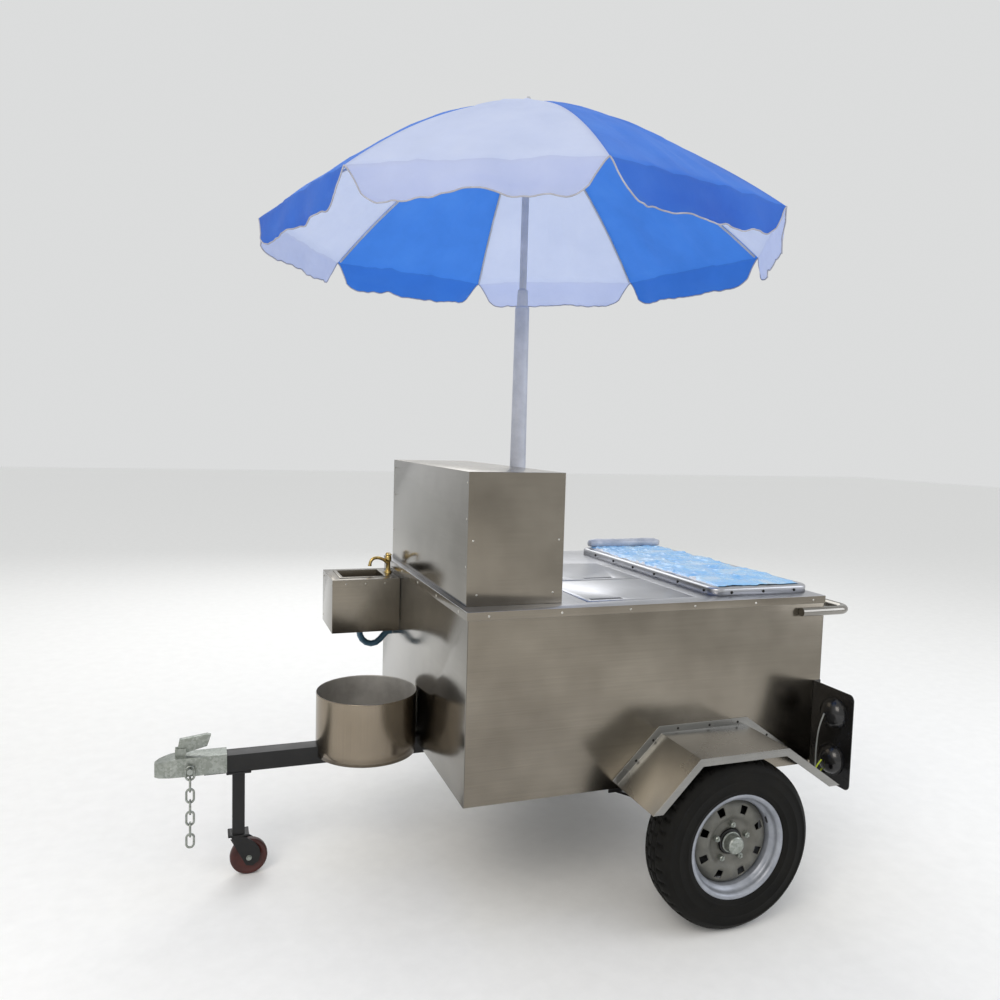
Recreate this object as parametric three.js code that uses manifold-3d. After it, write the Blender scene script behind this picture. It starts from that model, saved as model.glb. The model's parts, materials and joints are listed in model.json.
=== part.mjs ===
import * as THREE from 'three';
import { mergeVertices } from 'three/addons/utils/BufferGeometryUtils.js';
import ManifoldModule from 'manifold-3d';

const wasm = await ManifoldModule();
wasm.setup();
const { Manifold, Mesh: ManifoldMesh } = wasm;

// Towable vending cart. Millimetres. X runs to the rear, Y to the cart's right, Z up from the ground.
// The origin is on the ground, midway between the coupler's nose and the push handle's crossbar.

const GAP = 0.3;
const SHEET = 2;

// body box
const FRONT_X = -262.5;
const BODY_LENGTH = 1290;
const REAR_X = FRONT_X + BODY_LENGTH;
const BODY_HALF = 585;
const BODY_BOTTOM = 410;
const COUNTER_Z = 1000;
const HEM_DROP = 26;

// counter openings and lids
const WELL_X0 = FRONT_X + 418;
const WELL_X1 = FRONT_X + 818;
const WELL_Y0 = -517;
const WELL_Y1 = 217;
const LID_SEAM_Y = -152;
const LID_THICK = 2.4;
const PAN_DEPTH = 150;

// cabinet behind the front edge
const CABINET_X0 = FRONT_X + 18;
const CABINET_X1 = FRONT_X + 333;
const CABINET_HALF = 510;
const CABINET_TOP = 1408;

// mast and umbrella
const MAST_X = FRONT_X + 368;
const SOCKET_BASE_R = 32;
const SOCKET_TOP_R = 25.5;
const SOCKET_TOP = 1985;
const POLE_R = 13;
const POLE_BOTTOM = 1500;
const CROWN_Z = 2690;
const RIB_PIVOT_R = 24;
const RIB_COUNT = 8;
const RIB_FIRST = -98;
const RIM_R = 922;
const RIM_Z = 2222;
const RIB_RISE = 45;
const RIB_STAY = 0.29;
const RUNNER_Z = 2490;
const RUNNER_PIVOT_R = 25;
const VALANCE = 118;
const CLOTH = 2;

// running gear
const AXLE_X = FRONT_X + 826;
const WHEEL_R = 272.5;
const TYRE_SIDES = 28;
const TYRE_OUT = 805;
const TYRE_IN = 670;
const RIM_LIP_R = 166;
const SPRING_Y = 500;

// drawbar and coupler
const NOSE_X = FRONT_X - 875;
const BAR_TOP = 430;
const BAR_HALF = 30;
const BAR_FRONT = FRONT_X - 722;
const BAR_REAR = FRONT_X + 560;
const BOLT_X = FRONT_X - 765;
const BOLT_Z = 405;
const LEG_X = FRONT_X - 612;
const CASTER_R = 62;
const CASTER_TRAIL = 34;

// gas bottle holder
const HOLDER_X = FRONT_X - 180;
const HOLDER_R = 175;
const HOLDER_TOP = 610;
const HOLDER_BOTTOM = 395;

// sink
const SINK_X0 = FRONT_X - 262;
const SINK_Y0 = 285;
const SINK_Y1 = 545;
const SINK_TOP = 952;
const SINK_BOTTOM = 746;

// push handle
const HANDLE_R = 15;
const HANDLE_Z = 950;
const HANDLE_X0 = FRONT_X + 1182;
const HANDLE_X1 = FRONT_X + 1400 - HANDLE_R;

const SPOKES = 8;

function solid(geometry) {
  let g = geometry.clone();
  g.deleteAttribute('normal');
  g.deleteAttribute('uv');
  g = mergeVertices(g, 1e-4);
  const tri = new Uint32Array(g.index.array);
  function build() {
    const mesh = new ManifoldMesh({
      numProp: 3,
      vertProperties: new Float32Array(g.attributes.position.array),
      triVerts: tri,
    });
    mesh.merge();
    return new Manifold(mesh);
  }
  const body = build();
  if (body.volume() > 0) {
    return body;
  }
  // turn an inside-out body the right way round
  for (let i = 0; i < tri.length; i += 3) {
    const t = tri[i];
    tri[i] = tri[i + 1];
    tri[i + 1] = t;
  }
  return build();
}

function geometryOf(body) {
  const mesh = body.getMesh();
  const g = new THREE.BufferGeometry();
  g.setAttribute('position', new THREE.BufferAttribute(new Float32Array(mesh.vertProperties), 3));
  g.setIndex(new THREE.BufferAttribute(new Uint32Array(mesh.triVerts), 1));
  g.computeVertexNormals();
  return g;
}

function box(x0, x1, y0, y1, z0, z1) {
  const g = new THREE.BoxGeometry(x1 - x0, y1 - y0, z1 - z0);
  g.translate((x0 + x1) / 2, (y0 + y1) / 2, (z0 + z1) / 2);
  return solid(g);
}

// a cylinder along the given axis letter, centred on the other two coordinates
function cylinder(axis, r0, r1, start, end, a, b, sides) {
  const g = new THREE.CylinderGeometry(r1, r0, end - start, sides);
  if (axis === 'z') {
    g.rotateX(Math.PI / 2);
    g.translate(a, b, (start + end) / 2);
  }
  if (axis === 'y') {
    g.translate(a, (start + end) / 2, b);
  }
  if (axis === 'x') {
    g.rotateZ(-Math.PI / 2);
    g.translate((start + end) / 2, a, b);
  }
  return solid(g);
}

function polygonShape(points) {
  const s = new THREE.Shape();
  s.moveTo(points[0][0], points[0][1]);
  for (const p of points.slice(1)) {
    s.lineTo(p[0], p[1]);
  }
  s.closePath();
  return s;
}

// a polygon of (x, z) points extruded along Y from y0 to y1
function slabXZ(points, y0, y1) {
  const g = new THREE.ExtrudeGeometry(polygonShape(points), { depth: y1 - y0, bevelEnabled: false });
  g.rotateX(Math.PI / 2);
  g.translate(0, y1, 0);
  return solid(g);
}

// a polygon of (x, y) points extruded along Z from z0 to z1
function slabXY(points, z0, z1) {
  const g = new THREE.ExtrudeGeometry(polygonShape(points), { depth: z1 - z0, bevelEnabled: false });
  g.translate(0, 0, z0);
  return solid(g);
}

// a (radius, y) profile turned about a cross line, with a flat facet facing the ground
function turnedOnAxle(points, sides, x, z) {
  const g = new THREE.LatheGeometry(points.map((p) => new THREE.Vector2(p[0], p[1])), sides);
  g.rotateY(Math.PI / sides);
  g.translate(x, 0, z);
  return solid(g);
}

function join(...parts) {
  return parts.reduce((a, b) => a.add(b));
}

function cut(base, ...tools) {
  return tools.reduce((a, b) => a.subtract(b), base);
}

function mirrored(body) {
  return body.mirror([0, 1, 0]);
}

const group = new THREE.Group();
group.name = 'vending_cart';

const FINISH = {
  stainless: { color: 0xb9b7b0, metalness: 0.9, roughness: 0.3 },
  counter: { color: 0xc3c6c9, metalness: 0.85, roughness: 0.4 },
  galvanised: { color: 0x9a9d98, metalness: 0.8, roughness: 0.55 },
  black_paint: { color: 0x1a1b1b, metalness: 0.1, roughness: 0.5 },
  silver_paint: { color: 0x9b9d9c, metalness: 0.5, roughness: 0.4 },
  tyre: { color: 0x141414, metalness: 0, roughness: 0.9 },
  black_plastic: { color: 0x191817, metalness: 0, roughness: 0.5 },
  red_plastic: { color: 0x5d1416, metalness: 0, roughness: 0.5 },
  brass: { color: 0xb99f58, metalness: 0.9, roughness: 0.3 },
  hose: { color: 0x3c5f72, metalness: 0, roughness: 0.4 },
  pole: { color: 0xc6c7cb, metalness: 0.1, roughness: 0.4 },
  cloth: { color: 0x3576dc, metalness: 0, roughness: 0.8 },
};

function add(name, body, finish) {
  const m = new THREE.Mesh(geometryOf(body), new THREE.MeshStandardMaterial(FINISH[finish]));
  m.name = name;
  group.add(m);
}

// ---- body panels ----
const panelTop = COUNTER_Z - SHEET - GAP;
const innerHalf = BODY_HALF - SHEET;

function sidePanel() {
  const x0 = FRONT_X + SHEET + GAP;
  const x1 = REAR_X - SHEET - GAP;
  const sheet = box(x0, x1, -BODY_HALF, -innerHalf, BODY_BOTTOM, panelTop);
  // folded stiffening returns along the bottom and the top edge
  const low = box(x0, x1, -innerHalf - 0.5, -innerHalf + 18, BODY_BOTTOM, BODY_BOTTOM + SHEET);
  const high = box(x0, x1, -innerHalf - 0.5, -innerHalf + 18, panelTop - SHEET, panelTop);
  return join(sheet, low, high);
}
add('side_panel_left', sidePanel(), 'stainless');
add('side_panel_right', mirrored(sidePanel()), 'stainless');

const barNotchHalf = BAR_HALF + 2;
add(
  'front_panel',
  cut(
    box(FRONT_X, FRONT_X + SHEET, -BODY_HALF, BODY_HALF, BODY_BOTTOM, panelTop),
    box(FRONT_X - 5, FRONT_X + 10, -barNotchHalf, barNotchHalf, BODY_BOTTOM - 5, BAR_TOP + 2)
  ),
  'stainless'
);

const DOOR_HALF = 270;
const DOOR_Z0 = 520;
const DOOR_Z1 = 895;
add(
  'rear_panel',
  cut(
    box(REAR_X - SHEET, REAR_X, -BODY_HALF, BODY_HALF, BODY_BOTTOM, panelTop),
    box(REAR_X - 10, REAR_X + 10, -DOOR_HALF, DOOR_HALF, DOOR_Z0, DOOR_Z1)
  ),
  'stainless'
);

// door lies over the opening, with a bent grip on its free edge and a rolled knuckle on the other
const doorX = REAR_X + GAP;
const doorY1 = DOOR_HALF + 18;
add(
  'rear_door',
  join(
    box(doorX, doorX + 3, -DOOR_HALF - 18, doorY1, DOOR_Z0 - 18, DOOR_Z1 + 18),
    box(doorX + 2.5, doorX + 22, -DOOR_HALF + 22, -DOOR_HALF + 26, 650, 770),
    box(doorX + 19, doorX + 22, -DOOR_HALF + 22, -DOOR_HALF + 46, 650, 770),
    cylinder('z', 5, 5, DOOR_Z0 + 20, DOOR_Z1 - 20, doorX + 5.2, doorY1 + 1, 12)
  ),
  'stainless'
);

add(
  'floor_panel',
  box(FRONT_X + 3, REAR_X - 3, -innerHalf + GAP, innerHalf - GAP, 473, 475.5),
  'stainless'
);

const hemOut = BODY_HALF + GAP + SHEET;
const hemIn = BODY_HALF + GAP;
const hemX0 = FRONT_X - GAP;
const hemX1 = REAR_X + GAP;
add(
  'countertop',
  cut(
    box(hemX0 - SHEET, hemX1 + SHEET, -hemOut, hemOut, COUNTER_Z - HEM_DROP, COUNTER_Z),
    box(hemX0, hemX1, -hemIn, hemIn, COUNTER_Z - HEM_DROP - 5, COUNTER_Z - SHEET),
    box(WELL_X0, WELL_X1, WELL_Y0, WELL_Y1, COUNTER_Z - 50, COUNTER_Z + 50)
  ),
  'counter'
);

// steam pan hangs under the counter opening; its rim carries the lids
const panTop = COUNTER_Z - SHEET - GAP;
const rimW = 16;
add(
  'steam_pan',
  cut(
    join(
      box(WELL_X0 - 22, WELL_X1 + 22, WELL_Y0 - 22, WELL_Y1 + 22, panTop - SHEET, panTop),
      box(WELL_X0 + rimW, WELL_X1 - rimW, WELL_Y0 + rimW, WELL_Y1 - rimW, panTop - PAN_DEPTH, panTop - 1)
    ),
    box(
      WELL_X0 + rimW + SHEET,
      WELL_X1 - rimW - SHEET,
      WELL_Y0 + rimW + SHEET,
      WELL_Y1 - rimW - SHEET,
      panTop - PAN_DEPTH + SHEET,
      panTop + 10
    )
  ),
  'stainless'
);

// a lid: flat plate with a shallow pressed pull near its front edge
function lid(y0, y1, pullX0, pullX1, pullY) {
  const z1 = COUNTER_Z + 0.4;
  const plate = box(WELL_X0 + 1.5, WELL_X1 - 1.5, y0, y1, z1 - LID_THICK, z1);
  const dish = box(pullX0 - 4, pullX1 + 4, pullY - 16, pullY + 16, z1 - 12, z1 - 1);
  const hollow = box(pullX0, pullX1, pullY - 12, pullY + 12, z1 - 10, z1 + 5);
  return cut(join(plate, dish), hollow);
}
add('well_lid_left', lid(WELL_Y0 + 1.5, LID_SEAM_Y - 3, FRONT_X + 446, FRONT_X + 562, -478), 'counter');
add('well_lid_right', lid(LID_SEAM_Y + 3, WELL_Y1 - 1.5, FRONT_X + 600, FRONT_X + 716, -112), 'counter');

// low raised cover across the rear of the counter, with rounded plan corners
function roundedRect(x0, x1, y0, y1, r, n) {
  const pts = [];
  const corners = [
    [x1 - r, y1 - r, 0],
    [x0 + r, y1 - r, 90],
    [x0 + r, y0 + r, 180],
    [x1 - r, y0 + r, 270],
  ];
  for (const [cx, cy, a0] of corners) {
    for (let i = 0; i <= n; i += 1) {
      const a = ((a0 + (90 * i) / n) * Math.PI) / 180;
      pts.push([cx + r * Math.cos(a), cy + r * Math.sin(a)]);
    }
  }
  return pts;
}
const COVER = [FRONT_X + 881, FRONT_X + 1278, -527, 510];
add(
  'serving_cover',
  cut(
    join(
      slabXY(roundedRect(COVER[0], COVER[1], COVER[2], COVER[3], 42, 5), COUNTER_Z + GAP, COUNTER_Z + 26),
      slabXY(
        roundedRect(COVER[0] + 4, COVER[1] - 4, COVER[2] + 4, COVER[3] - 4, 40, 5),
        COUNTER_Z + 25,
        COUNTER_Z + 28
      )
    ),
    slabXY(
      roundedRect(COVER[0] + SHEET, COVER[1] - SHEET, COVER[2] + SHEET, COVER[3] - SHEET, 40, 5),
      COUNTER_Z - 1,
      COUNTER_Z + 24
    )
  ),
  'stainless'
);

// tall cabinet, open underneath where it stands on the counter
add(
  'tank_cabinet',
  cut(
    box(CABINET_X0, CABINET_X1, -CABINET_HALF, CABINET_HALF, COUNTER_Z + GAP, CABINET_TOP),
    box(
      CABINET_X0 + SHEET,
      CABINET_X1 - SHEET,
      -CABINET_HALF + SHEET,
      CABINET_HALF - SHEET,
      COUNTER_Z - 1,
      CABINET_TOP - SHEET
    )
  ),
  'stainless'
);

// ---- push handle ----
function pushHandle() {
  const y = BODY_HALF + GAP + HANDLE_R + 0.2;
  const r = 45;
  const pts = [];
  pts.push([HANDLE_X0, -y, HANDLE_Z]);
  pts.push([HANDLE_X1 - r - 40, -y, HANDLE_Z]);
  for (let i = 0; i <= 4; i += 1) {
    const a = (-90 + 22.5 * i) * (Math.PI / 180);
    pts.push([HANDLE_X1 - r + r * Math.cos(a), -y + r + r * Math.sin(a), HANDLE_Z]);
  }
  const far = pts.map((p) => [p[0], -p[1], p[2]]).reverse();
  return pts.concat(far);
}

// rounded U in plan: two arms, two quarter bends and the crossbar, as one swept round tube
function ringsAlong(points, r, sides) {
  const rings = [];
  for (let i = 0; i < points.length; i += 1) {
    const prev = new THREE.Vector3(...points[Math.max(i - 1, 0)]);
    const next = new THREE.Vector3(...points[Math.min(i + 1, points.length - 1)]);
    const here = new THREE.Vector3(...points[i]);
    const t = next.clone().sub(prev).normalize();
    const side = new THREE.Vector3(0, 0, 1);
    if (Math.abs(t.z) > 0.9) {
      side.set(0, 1, 0);
    }
    const n = new THREE.Vector3().crossVectors(side, t).normalize();
    const b = new THREE.Vector3().crossVectors(t, n).normalize();
    const ring = [];
    for (let k = 0; k < sides; k += 1) {
      const a = (2 * Math.PI * k) / sides;
      const p = here.clone();
      p.addScaledVector(n, r * Math.cos(a));
      p.addScaledVector(b, r * Math.sin(a));
      ring.push(p);
    }
    rings.push(ring);
  }
  return rings;
}

function tube(points, r, sides) {
  const rings = ringsAlong(points, r, sides);
  const pos = [];
  const idx = [];
  for (const ring of rings) {
    for (const p of ring) {
      pos.push(p.x, p.y, p.z);
    }
  }
  for (let i = 0; i + 1 < rings.length; i += 1) {
    for (let k = 0; k < sides; k += 1) {
      const k1 = (k + 1) % sides;
      const a = i * sides + k;
      const b = i * sides + k1;
      const c = (i + 1) * sides + k1;
      const d = (i + 1) * sides + k;
      idx.push(a, b, c, a, c, d);
    }
  }
  const last = (rings.length - 1) * sides;
  for (let k = 1; k + 1 < sides; k += 1) {
    idx.push(0, k + 1, k);
    idx.push(last, last + k, last + k + 1);
  }
  const g = new THREE.BufferGeometry();
  g.setAttribute('position', new THREE.BufferAttribute(new Float32Array(pos), 3));
  g.setIndex(idx);
  return solid(g);
}
add('push_handle', tube(pushHandle(), HANDLE_R, 12), 'stainless');

// ---- lamp plates: a black plate square to the panel with two round lamps ----
function lampPlate() {
  const x = FRONT_X + 1262;
  const y1 = -BODY_HALF - GAP;
  const plate = box(x, x + 3, -775, y1 - 3, 385, 705);
  const flange = box(x, x + 28, y1 - 3.5, y1, 420, 705);
  const parts = [plate, flange];
  for (const z of [624, 466]) {
    parts.push(cylinder('x', 44, 52, x - 34, x + 1, -690, z, 16));
    parts.push(cylinder('x', 56, 54, x + 2, x + 24, -690, z, 16));
  }
  return join(...parts);
}
add('lamp_plate_left', lampPlate(), 'black_plastic');
add('lamp_plate_right', mirrored(lampPlate()), 'black_plastic');

// ---- fenders: three folded facets, outer lip down, inner flange up ----
function fender() {
  const t = 2.5;
  const flatHalf = 160;
  const top = 575;
  const frontRun = 155;
  const frontDrop = 155;
  const rearRun = 205;
  const rearDrop = 142;
  const front = Math.atan2(frontDrop, frontRun);
  const rear = Math.atan2(rearDrop, rearRun);
  const outer = [
    [AXLE_X - flatHalf - frontRun, top - frontDrop],
    [AXLE_X - flatHalf, top],
    [AXLE_X + flatHalf, top],
    [AXLE_X + flatHalf + rearRun, top - rearDrop],
  ];
  function offset(d) {
    return [
      [outer[0][0] + d / Math.sin(front), outer[0][1]],
      [outer[1][0] + d * Math.tan(front / 2), outer[1][1] - d],
      [outer[2][0] - d * Math.tan(rear / 2), outer[2][1] - d],
      [outer[3][0] - d / Math.sin(rear), outer[3][1]],
    ];
  }
  const y0 = -812;
  const y1 = -BODY_HALF - GAP;
  const skin = slabXZ(outer.concat(offset(t).reverse()), y0, y1);
  const lip = slabXZ(outer.concat(offset(24).reverse()), y0, y0 + t);
  const up = 24;
  const flange = [
    [outer[0][0] - up * Math.sin(front), outer[0][1] + up * Math.cos(front)],
    [outer[1][0] - up * Math.tan(front / 2), outer[1][1] + up],
    [outer[2][0] + up * Math.tan(rear / 2), outer[2][1] + up],
    [outer[3][0] + up * Math.sin(rear), outer[3][1] + up * Math.cos(rear)],
  ];
  const back = slabXZ(flange.concat(offset(t).reverse()), y1 - t, y1);
  return join(skin, lip, back);
}
add('fender_left', fender(), 'stainless');
add('fender_right', mirrored(fender()), 'stainless');

// ---- chassis ----
const FRAME_Z0 = 432;
const FRAME_Z1 = 472;
const frameHalf = innerHalf - 1;
const frameX0 = FRONT_X + 4;
const frameX1 = REAR_X - 4;
function rail(y) {
  return box(frameX0, frameX1, y - 20, y + 20, FRAME_Z0, FRAME_Z1);
}
function cross(x) {
  return box(x - 20, x + 20, -frameHalf, frameHalf, FRAME_Z0, FRAME_Z1);
}
function hanger(x, y) {
  const plate0 = box(x - 24, x + 24, y - 33, y - 28, 372, FRAME_Z0 + 1);
  const plate1 = box(x - 24, x + 24, y + 28, y + 33, 372, FRAME_Z0 + 1);
  const pin = cylinder('y', 6, 6, y - 36, y + 36, x, 384, 8);
  const cap = box(x - 24, x + 24, y - 33, y + 33, FRAME_Z0 - 5, FRAME_Z0 + 1);
  return join(plate0, plate1, pin, cap);
}
const SPRING_FRONT = AXLE_X - 290;
const SPRING_REAR = AXLE_X + 290;
const WALL = 3;
function boreX(y) {
  return box(frameX0 - 5, frameX1 + 5, y - 20 + WALL, y + 20 - WALL, FRAME_Z0 + WALL, FRAME_Z1 - WALL);
}
function boreY(x) {
  return box(x - 20 + WALL, x + 20 - WALL, -frameHalf - 5, frameHalf + 5, FRAME_Z0 + WALL, FRAME_Z1 - WALL);
}
const RAIL_Y = [-frameHalf + 20, -SPRING_Y, SPRING_Y, frameHalf - 20];
const CROSS_X = [frameX0 + 20, FRONT_X + 440, AXLE_X + 60, frameX1 - 20];
const HANGERS = [SPRING_FRONT, SPRING_REAR].flatMap((x) => [hanger(x, -SPRING_Y), hanger(x, SPRING_Y)]);
const frameTubes = join(...RAIL_Y.map(rail), ...CROSS_X.map(cross));
const frameBores = join(...RAIL_Y.map(boreX), ...CROSS_X.map(boreY));
add('chassis_frame', join(cut(frameTubes, frameBores), ...HANGERS), 'black_paint');

// leaf pack, eyes round the hanger pins, flat seat over the axle
function spring() {
  const y = -SPRING_Y;
  const pts = [];
  const n = 10;
  function arc(x) {
    const u = (x - AXLE_X) / 290;
    return 310 + 67 * u * u;
  }
  for (let i = 0; i <= n; i += 1) {
    const x = SPRING_FRONT + 4 + ((SPRING_REAR - SPRING_FRONT - 8) * i) / n;
    pts.push([x, arc(x)]);
  }
  const low = pts.map((p) => [p[0], p[1] - 8]).reverse();
  const main = slabXZ(pts.concat(low), y - 22, y + 22);
  const second = slabXZ(
    [
      [AXLE_X - 190, arc(AXLE_X - 190) - 7],
      [AXLE_X - 90, arc(AXLE_X - 90) - 7],
      [AXLE_X, 303],
      [AXLE_X + 90, arc(AXLE_X + 90) - 7],
      [AXLE_X + 190, arc(AXLE_X + 190) - 7],
      [AXLE_X + 190, arc(AXLE_X + 190) - 14],
      [AXLE_X + 90, arc(AXLE_X + 90) - 16],
      [AXLE_X, 294],
      [AXLE_X - 90, arc(AXLE_X - 90) - 16],
      [AXLE_X - 190, arc(AXLE_X - 190) - 14],
    ],
    y - 22,
    y + 22
  );
  const seat = box(AXLE_X - 45, AXLE_X + 45, y - 22, y + 22, 292.6, 312);
  const eyes = [SPRING_FRONT, SPRING_REAR].map((x) =>
    cylinder('y', 15, 15, y - 22, y + 22, x, 384, 14)
  );
  const bores = [SPRING_FRONT, SPRING_REAR].map((x) =>
    cylinder('y', 6.4, 6.4, y - 30, y + 30, x, 384, 10)
  );
  return cut(join(main, second, seat, ...eyes), ...bores);
}
add('leaf_spring_left', spring(), 'black_paint');
add('leaf_spring_right', mirrored(spring()), 'black_paint');

const HUB_IN = 690;
const HUB_OUT = 742;
add(
  'axle',
  join(
    box(AXLE_X - 20, AXLE_X + 20, -640, 640, WHEEL_R - 20, WHEEL_R + 19.8),
    cylinder('y', 17, 17, -748, 748, AXLE_X, WHEEL_R, 16),
    box(AXLE_X - 48, AXLE_X + 48, -SPRING_Y - 32, -SPRING_Y + 32, WHEEL_R - 28, WHEEL_R - 19),
    box(AXLE_X - 48, AXLE_X + 48, SPRING_Y - 32, SPRING_Y + 32, WHEEL_R - 28, WHEEL_R - 19)
  ),
  'black_paint'
);

// ---- wheels, drawn for the left side ----
const DISC_Y = -752;
function hub() {
  const body = turnedOnAxle(
    [
      [17.6, -HUB_IN],
      [36, -HUB_IN],
      [36, -HUB_IN - 40],
      [62, -HUB_IN - 44],
      [62, DISC_Y + 4.3],
      [30, DISC_Y + 4.3],
      [30, DISC_Y - 14],
      [24, DISC_Y - 17],
      [24, DISC_Y - 34],
      [20, DISC_Y - 39],
      [0, DISC_Y - 39],
      [0, DISC_Y - 3],
      [17.6, DISC_Y - 3],
      [17.6, -HUB_IN],
    ],
    20,
    AXLE_X,
    WHEEL_R
  );
  const parts = [body];
  for (let i = 0; i < 5; i += 1) {
    const a = (i * 2 * Math.PI) / 5 + 0.3;
    const x = AXLE_X + 57 * Math.cos(a);
    const z = WHEEL_R + 57 * Math.sin(a);
    parts.push(cylinder('y', 4.4, 4.4, DISC_Y - 20, DISC_Y + 10, x, z, 6));
    parts.push(cylinder('y', 9.5, 9.5, DISC_Y - 14, DISC_Y - GAP - 0.1, x, z, 6));
  }
  return join(...parts);
}

function rim() {
  const barrel = turnedOnAxle(
    [
      [RIM_LIP_R, -796],
      [RIM_LIP_R, -792.5],
      [155, -790],
      [152, -772],
      [139, -764],
      [139, -716],
      [152, -706],
      [155, -688],
      [RIM_LIP_R, -685.5],
      [RIM_LIP_R, -682],
      [151.5, -684.5],
      [148.5, -704],
      [135.5, -714],
      [135.5, -766],
      [148.5, -774],
      [151.5, -793.5],
      [RIM_LIP_R, -796],
    ],
    TYRE_SIDES,
    AXLE_X,
    WHEEL_R
  );
  const disc = turnedOnAxle(
    [
      [41, DISC_Y],
      [70, DISC_Y],
      [82, DISC_Y - 9],
      [118, DISC_Y - 7],
      [137, DISC_Y + 6],
      [137, DISC_Y + 10],
      [117, DISC_Y - 3],
      [83, DISC_Y - 5],
      [71, DISC_Y + 4],
      [41, DISC_Y + 4],
      [41, DISC_Y],
    ],
    TYRE_SIDES,
    AXLE_X,
    WHEEL_R
  );
  const holes = [];
  for (let i = 0; i < SPOKES; i += 1) {
    const a = ((i + 0.5) * 2 * Math.PI) / SPOKES;
    const pts = [
      [95, -11],
      [118, -17],
      [122, -12],
      [122, 12],
      [118, 17],
      [95, 11],
    ].map(([u, v]) => [
      AXLE_X + u * Math.cos(a) - v * Math.sin(a),
      WHEEL_R + u * Math.sin(a) + v * Math.cos(a),
    ]);
    holes.push(slabXZ(pts, DISC_Y - 30, DISC_Y + 30));
  }
  for (let i = 0; i < 5; i += 1) {
    const a = (i * 2 * Math.PI) / 5 + 0.3;
    const x = AXLE_X + 57 * Math.cos(a);
    const z = WHEEL_R + 57 * Math.sin(a);
    holes.push(cylinder('y', 5.6, 5.6, DISC_Y - 10, DISC_Y + 20, x, z, 6));
  }
  return cut(join(barrel, disc), ...holes);
}

function tyre() {
  const tread = WHEEL_R / Math.cos(Math.PI / TYRE_SIDES);
  return turnedOnAxle(
    [
      [155.6, -789.6],
      [RIM_LIP_R + 0.4, -792.1],
      [RIM_LIP_R + 0.7, -797],
      [205, -804],
      [235, -TYRE_OUT],
      [263, -792],
      [tread, -765],
      [tread, -710],
      [263, -683],
      [235, -TYRE_IN],
      [205, -671],
      [RIM_LIP_R + 0.7, -681],
      [RIM_LIP_R + 0.4, -685.9],
      [155.6, -688.4],
      [156, -700],
      [190, -682],
      [235, -681],
      [258, -700],
      [258, -775],
      [235, -794],
      [190, -793],
      [156, -778],
      [155.6, -789.6],
    ],
    TYRE_SIDES,
    AXLE_X,
    WHEEL_R
  );
}
for (const [side, place] of [['left', (b) => b], ['right', mirrored]]) {
  add(`hub_${side}`, place(hub()), 'galvanised');
  add(`wheel_rim_${side}`, place(rim()), 'silver_paint');
  add(`tyre_${side}`, place(tyre()), 'tyre');
}

// ---- drawbar, coupler, chain, jack ----
function drawbar() {
  const w = 3;
  const z0 = BAR_TOP - 2 * BAR_HALF;
  const outer = box(BAR_FRONT, BAR_REAR, -BAR_HALF, BAR_HALF, z0, BAR_TOP);
  const inner = box(BAR_FRONT - 5, BAR_REAR + 5, -BAR_HALF + w, BAR_HALF - w, z0 + w, BAR_TOP - w);
  // bolting ears under the frame's cross-members
  const ears = [frameX0 + 20, FRONT_X + 440].map((x) =>
    box(x - 20, x + 20, -75, 75, BAR_TOP - 0.5, FRAME_Z0 - GAP)
  );
  return join(cut(outer, inner), ...ears);
}
add('drawbar', drawbar(), 'black_paint');

function coupler() {
  const rear = FRONT_X - 650;
  const plan = [
    [rear, -35],
    [rear, 35],
    [NOSE_X + 95, 35],
    [NOSE_X + 48, 33],
    [NOSE_X + 14, 24],
    [NOSE_X, 10],
    [NOSE_X, -10],
    [NOSE_X + 14, -24],
    [NOSE_X + 48, -33],
    [NOSE_X + 95, -35],
  ];
  const block = slabXY(plan, 374, 436);
  const channel = box(BAR_FRONT - GAP, rear + 5, -BAR_HALF - GAP, BAR_HALF + GAP, 360, BAR_TOP + GAP);
  const hollow = box(NOSE_X + 68, BAR_FRONT + 1, -BAR_HALF, BAR_HALF, 360, BAR_TOP);
  const ball = new THREE.SphereGeometry(25.5, 16, 8);
  ball.translate(NOSE_X + 34, 0, 398);
  const socket = join(solid(ball), cylinder('z', 25.5, 25.5, 360, 398, NOSE_X + 34, 0, 16));
  const ears = join(
    box(FRONT_X - 812, FRONT_X - 778, -13, -9, 435, 462),
    box(FRONT_X - 812, FRONT_X - 778, 9, 13, 435, 462),
    cylinder('y', 4, 4, -12, 12, FRONT_X - 795, 452, 10)
  );
  const bolt = join(
    cylinder('y', 6, 6, -73, -34, BOLT_X, BOLT_Z, 10),
    cylinder('y', 10, 10, -78, -70, BOLT_X, BOLT_Z, 6),
    cylinder('y', 10, 10, 34.5, 44, BOLT_X, BOLT_Z, 6)
  );
  return join(cut(block, channel, hollow, socket), ears, bolt);
}
add('coupler_housing', coupler(), 'galvanised');

add(
  'coupler_latch',
  cut(
    join(
      cylinder('y', 9, 9, -8.6, 8.6, FRONT_X - 795, 452, 12),
      slabXZ(
        [
          [FRONT_X - 806, 447],
          [FRONT_X - 784, 444],
          [FRONT_X - 712, 462],
          [FRONT_X - 700, 498],
          [FRONT_X - 712, 502],
          [FRONT_X - 798, 491],
        ],
        -8.6,
        8.6
      )
    ),
    // the lever is pressed from sheet, open below
    slabXZ(
      [
        [FRONT_X - 776, 440],
        [FRONT_X - 709, 455],
        [FRONT_X - 705, 493],
        [FRONT_X - 713, 498],
        [FRONT_X - 776, 490],
      ],
      -5.6,
      5.6
    ),
    cylinder('y', 4.4, 4.4, -20, 20, FRONT_X - 795, 452, 10)
  ),
  'galvanised'
);

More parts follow.
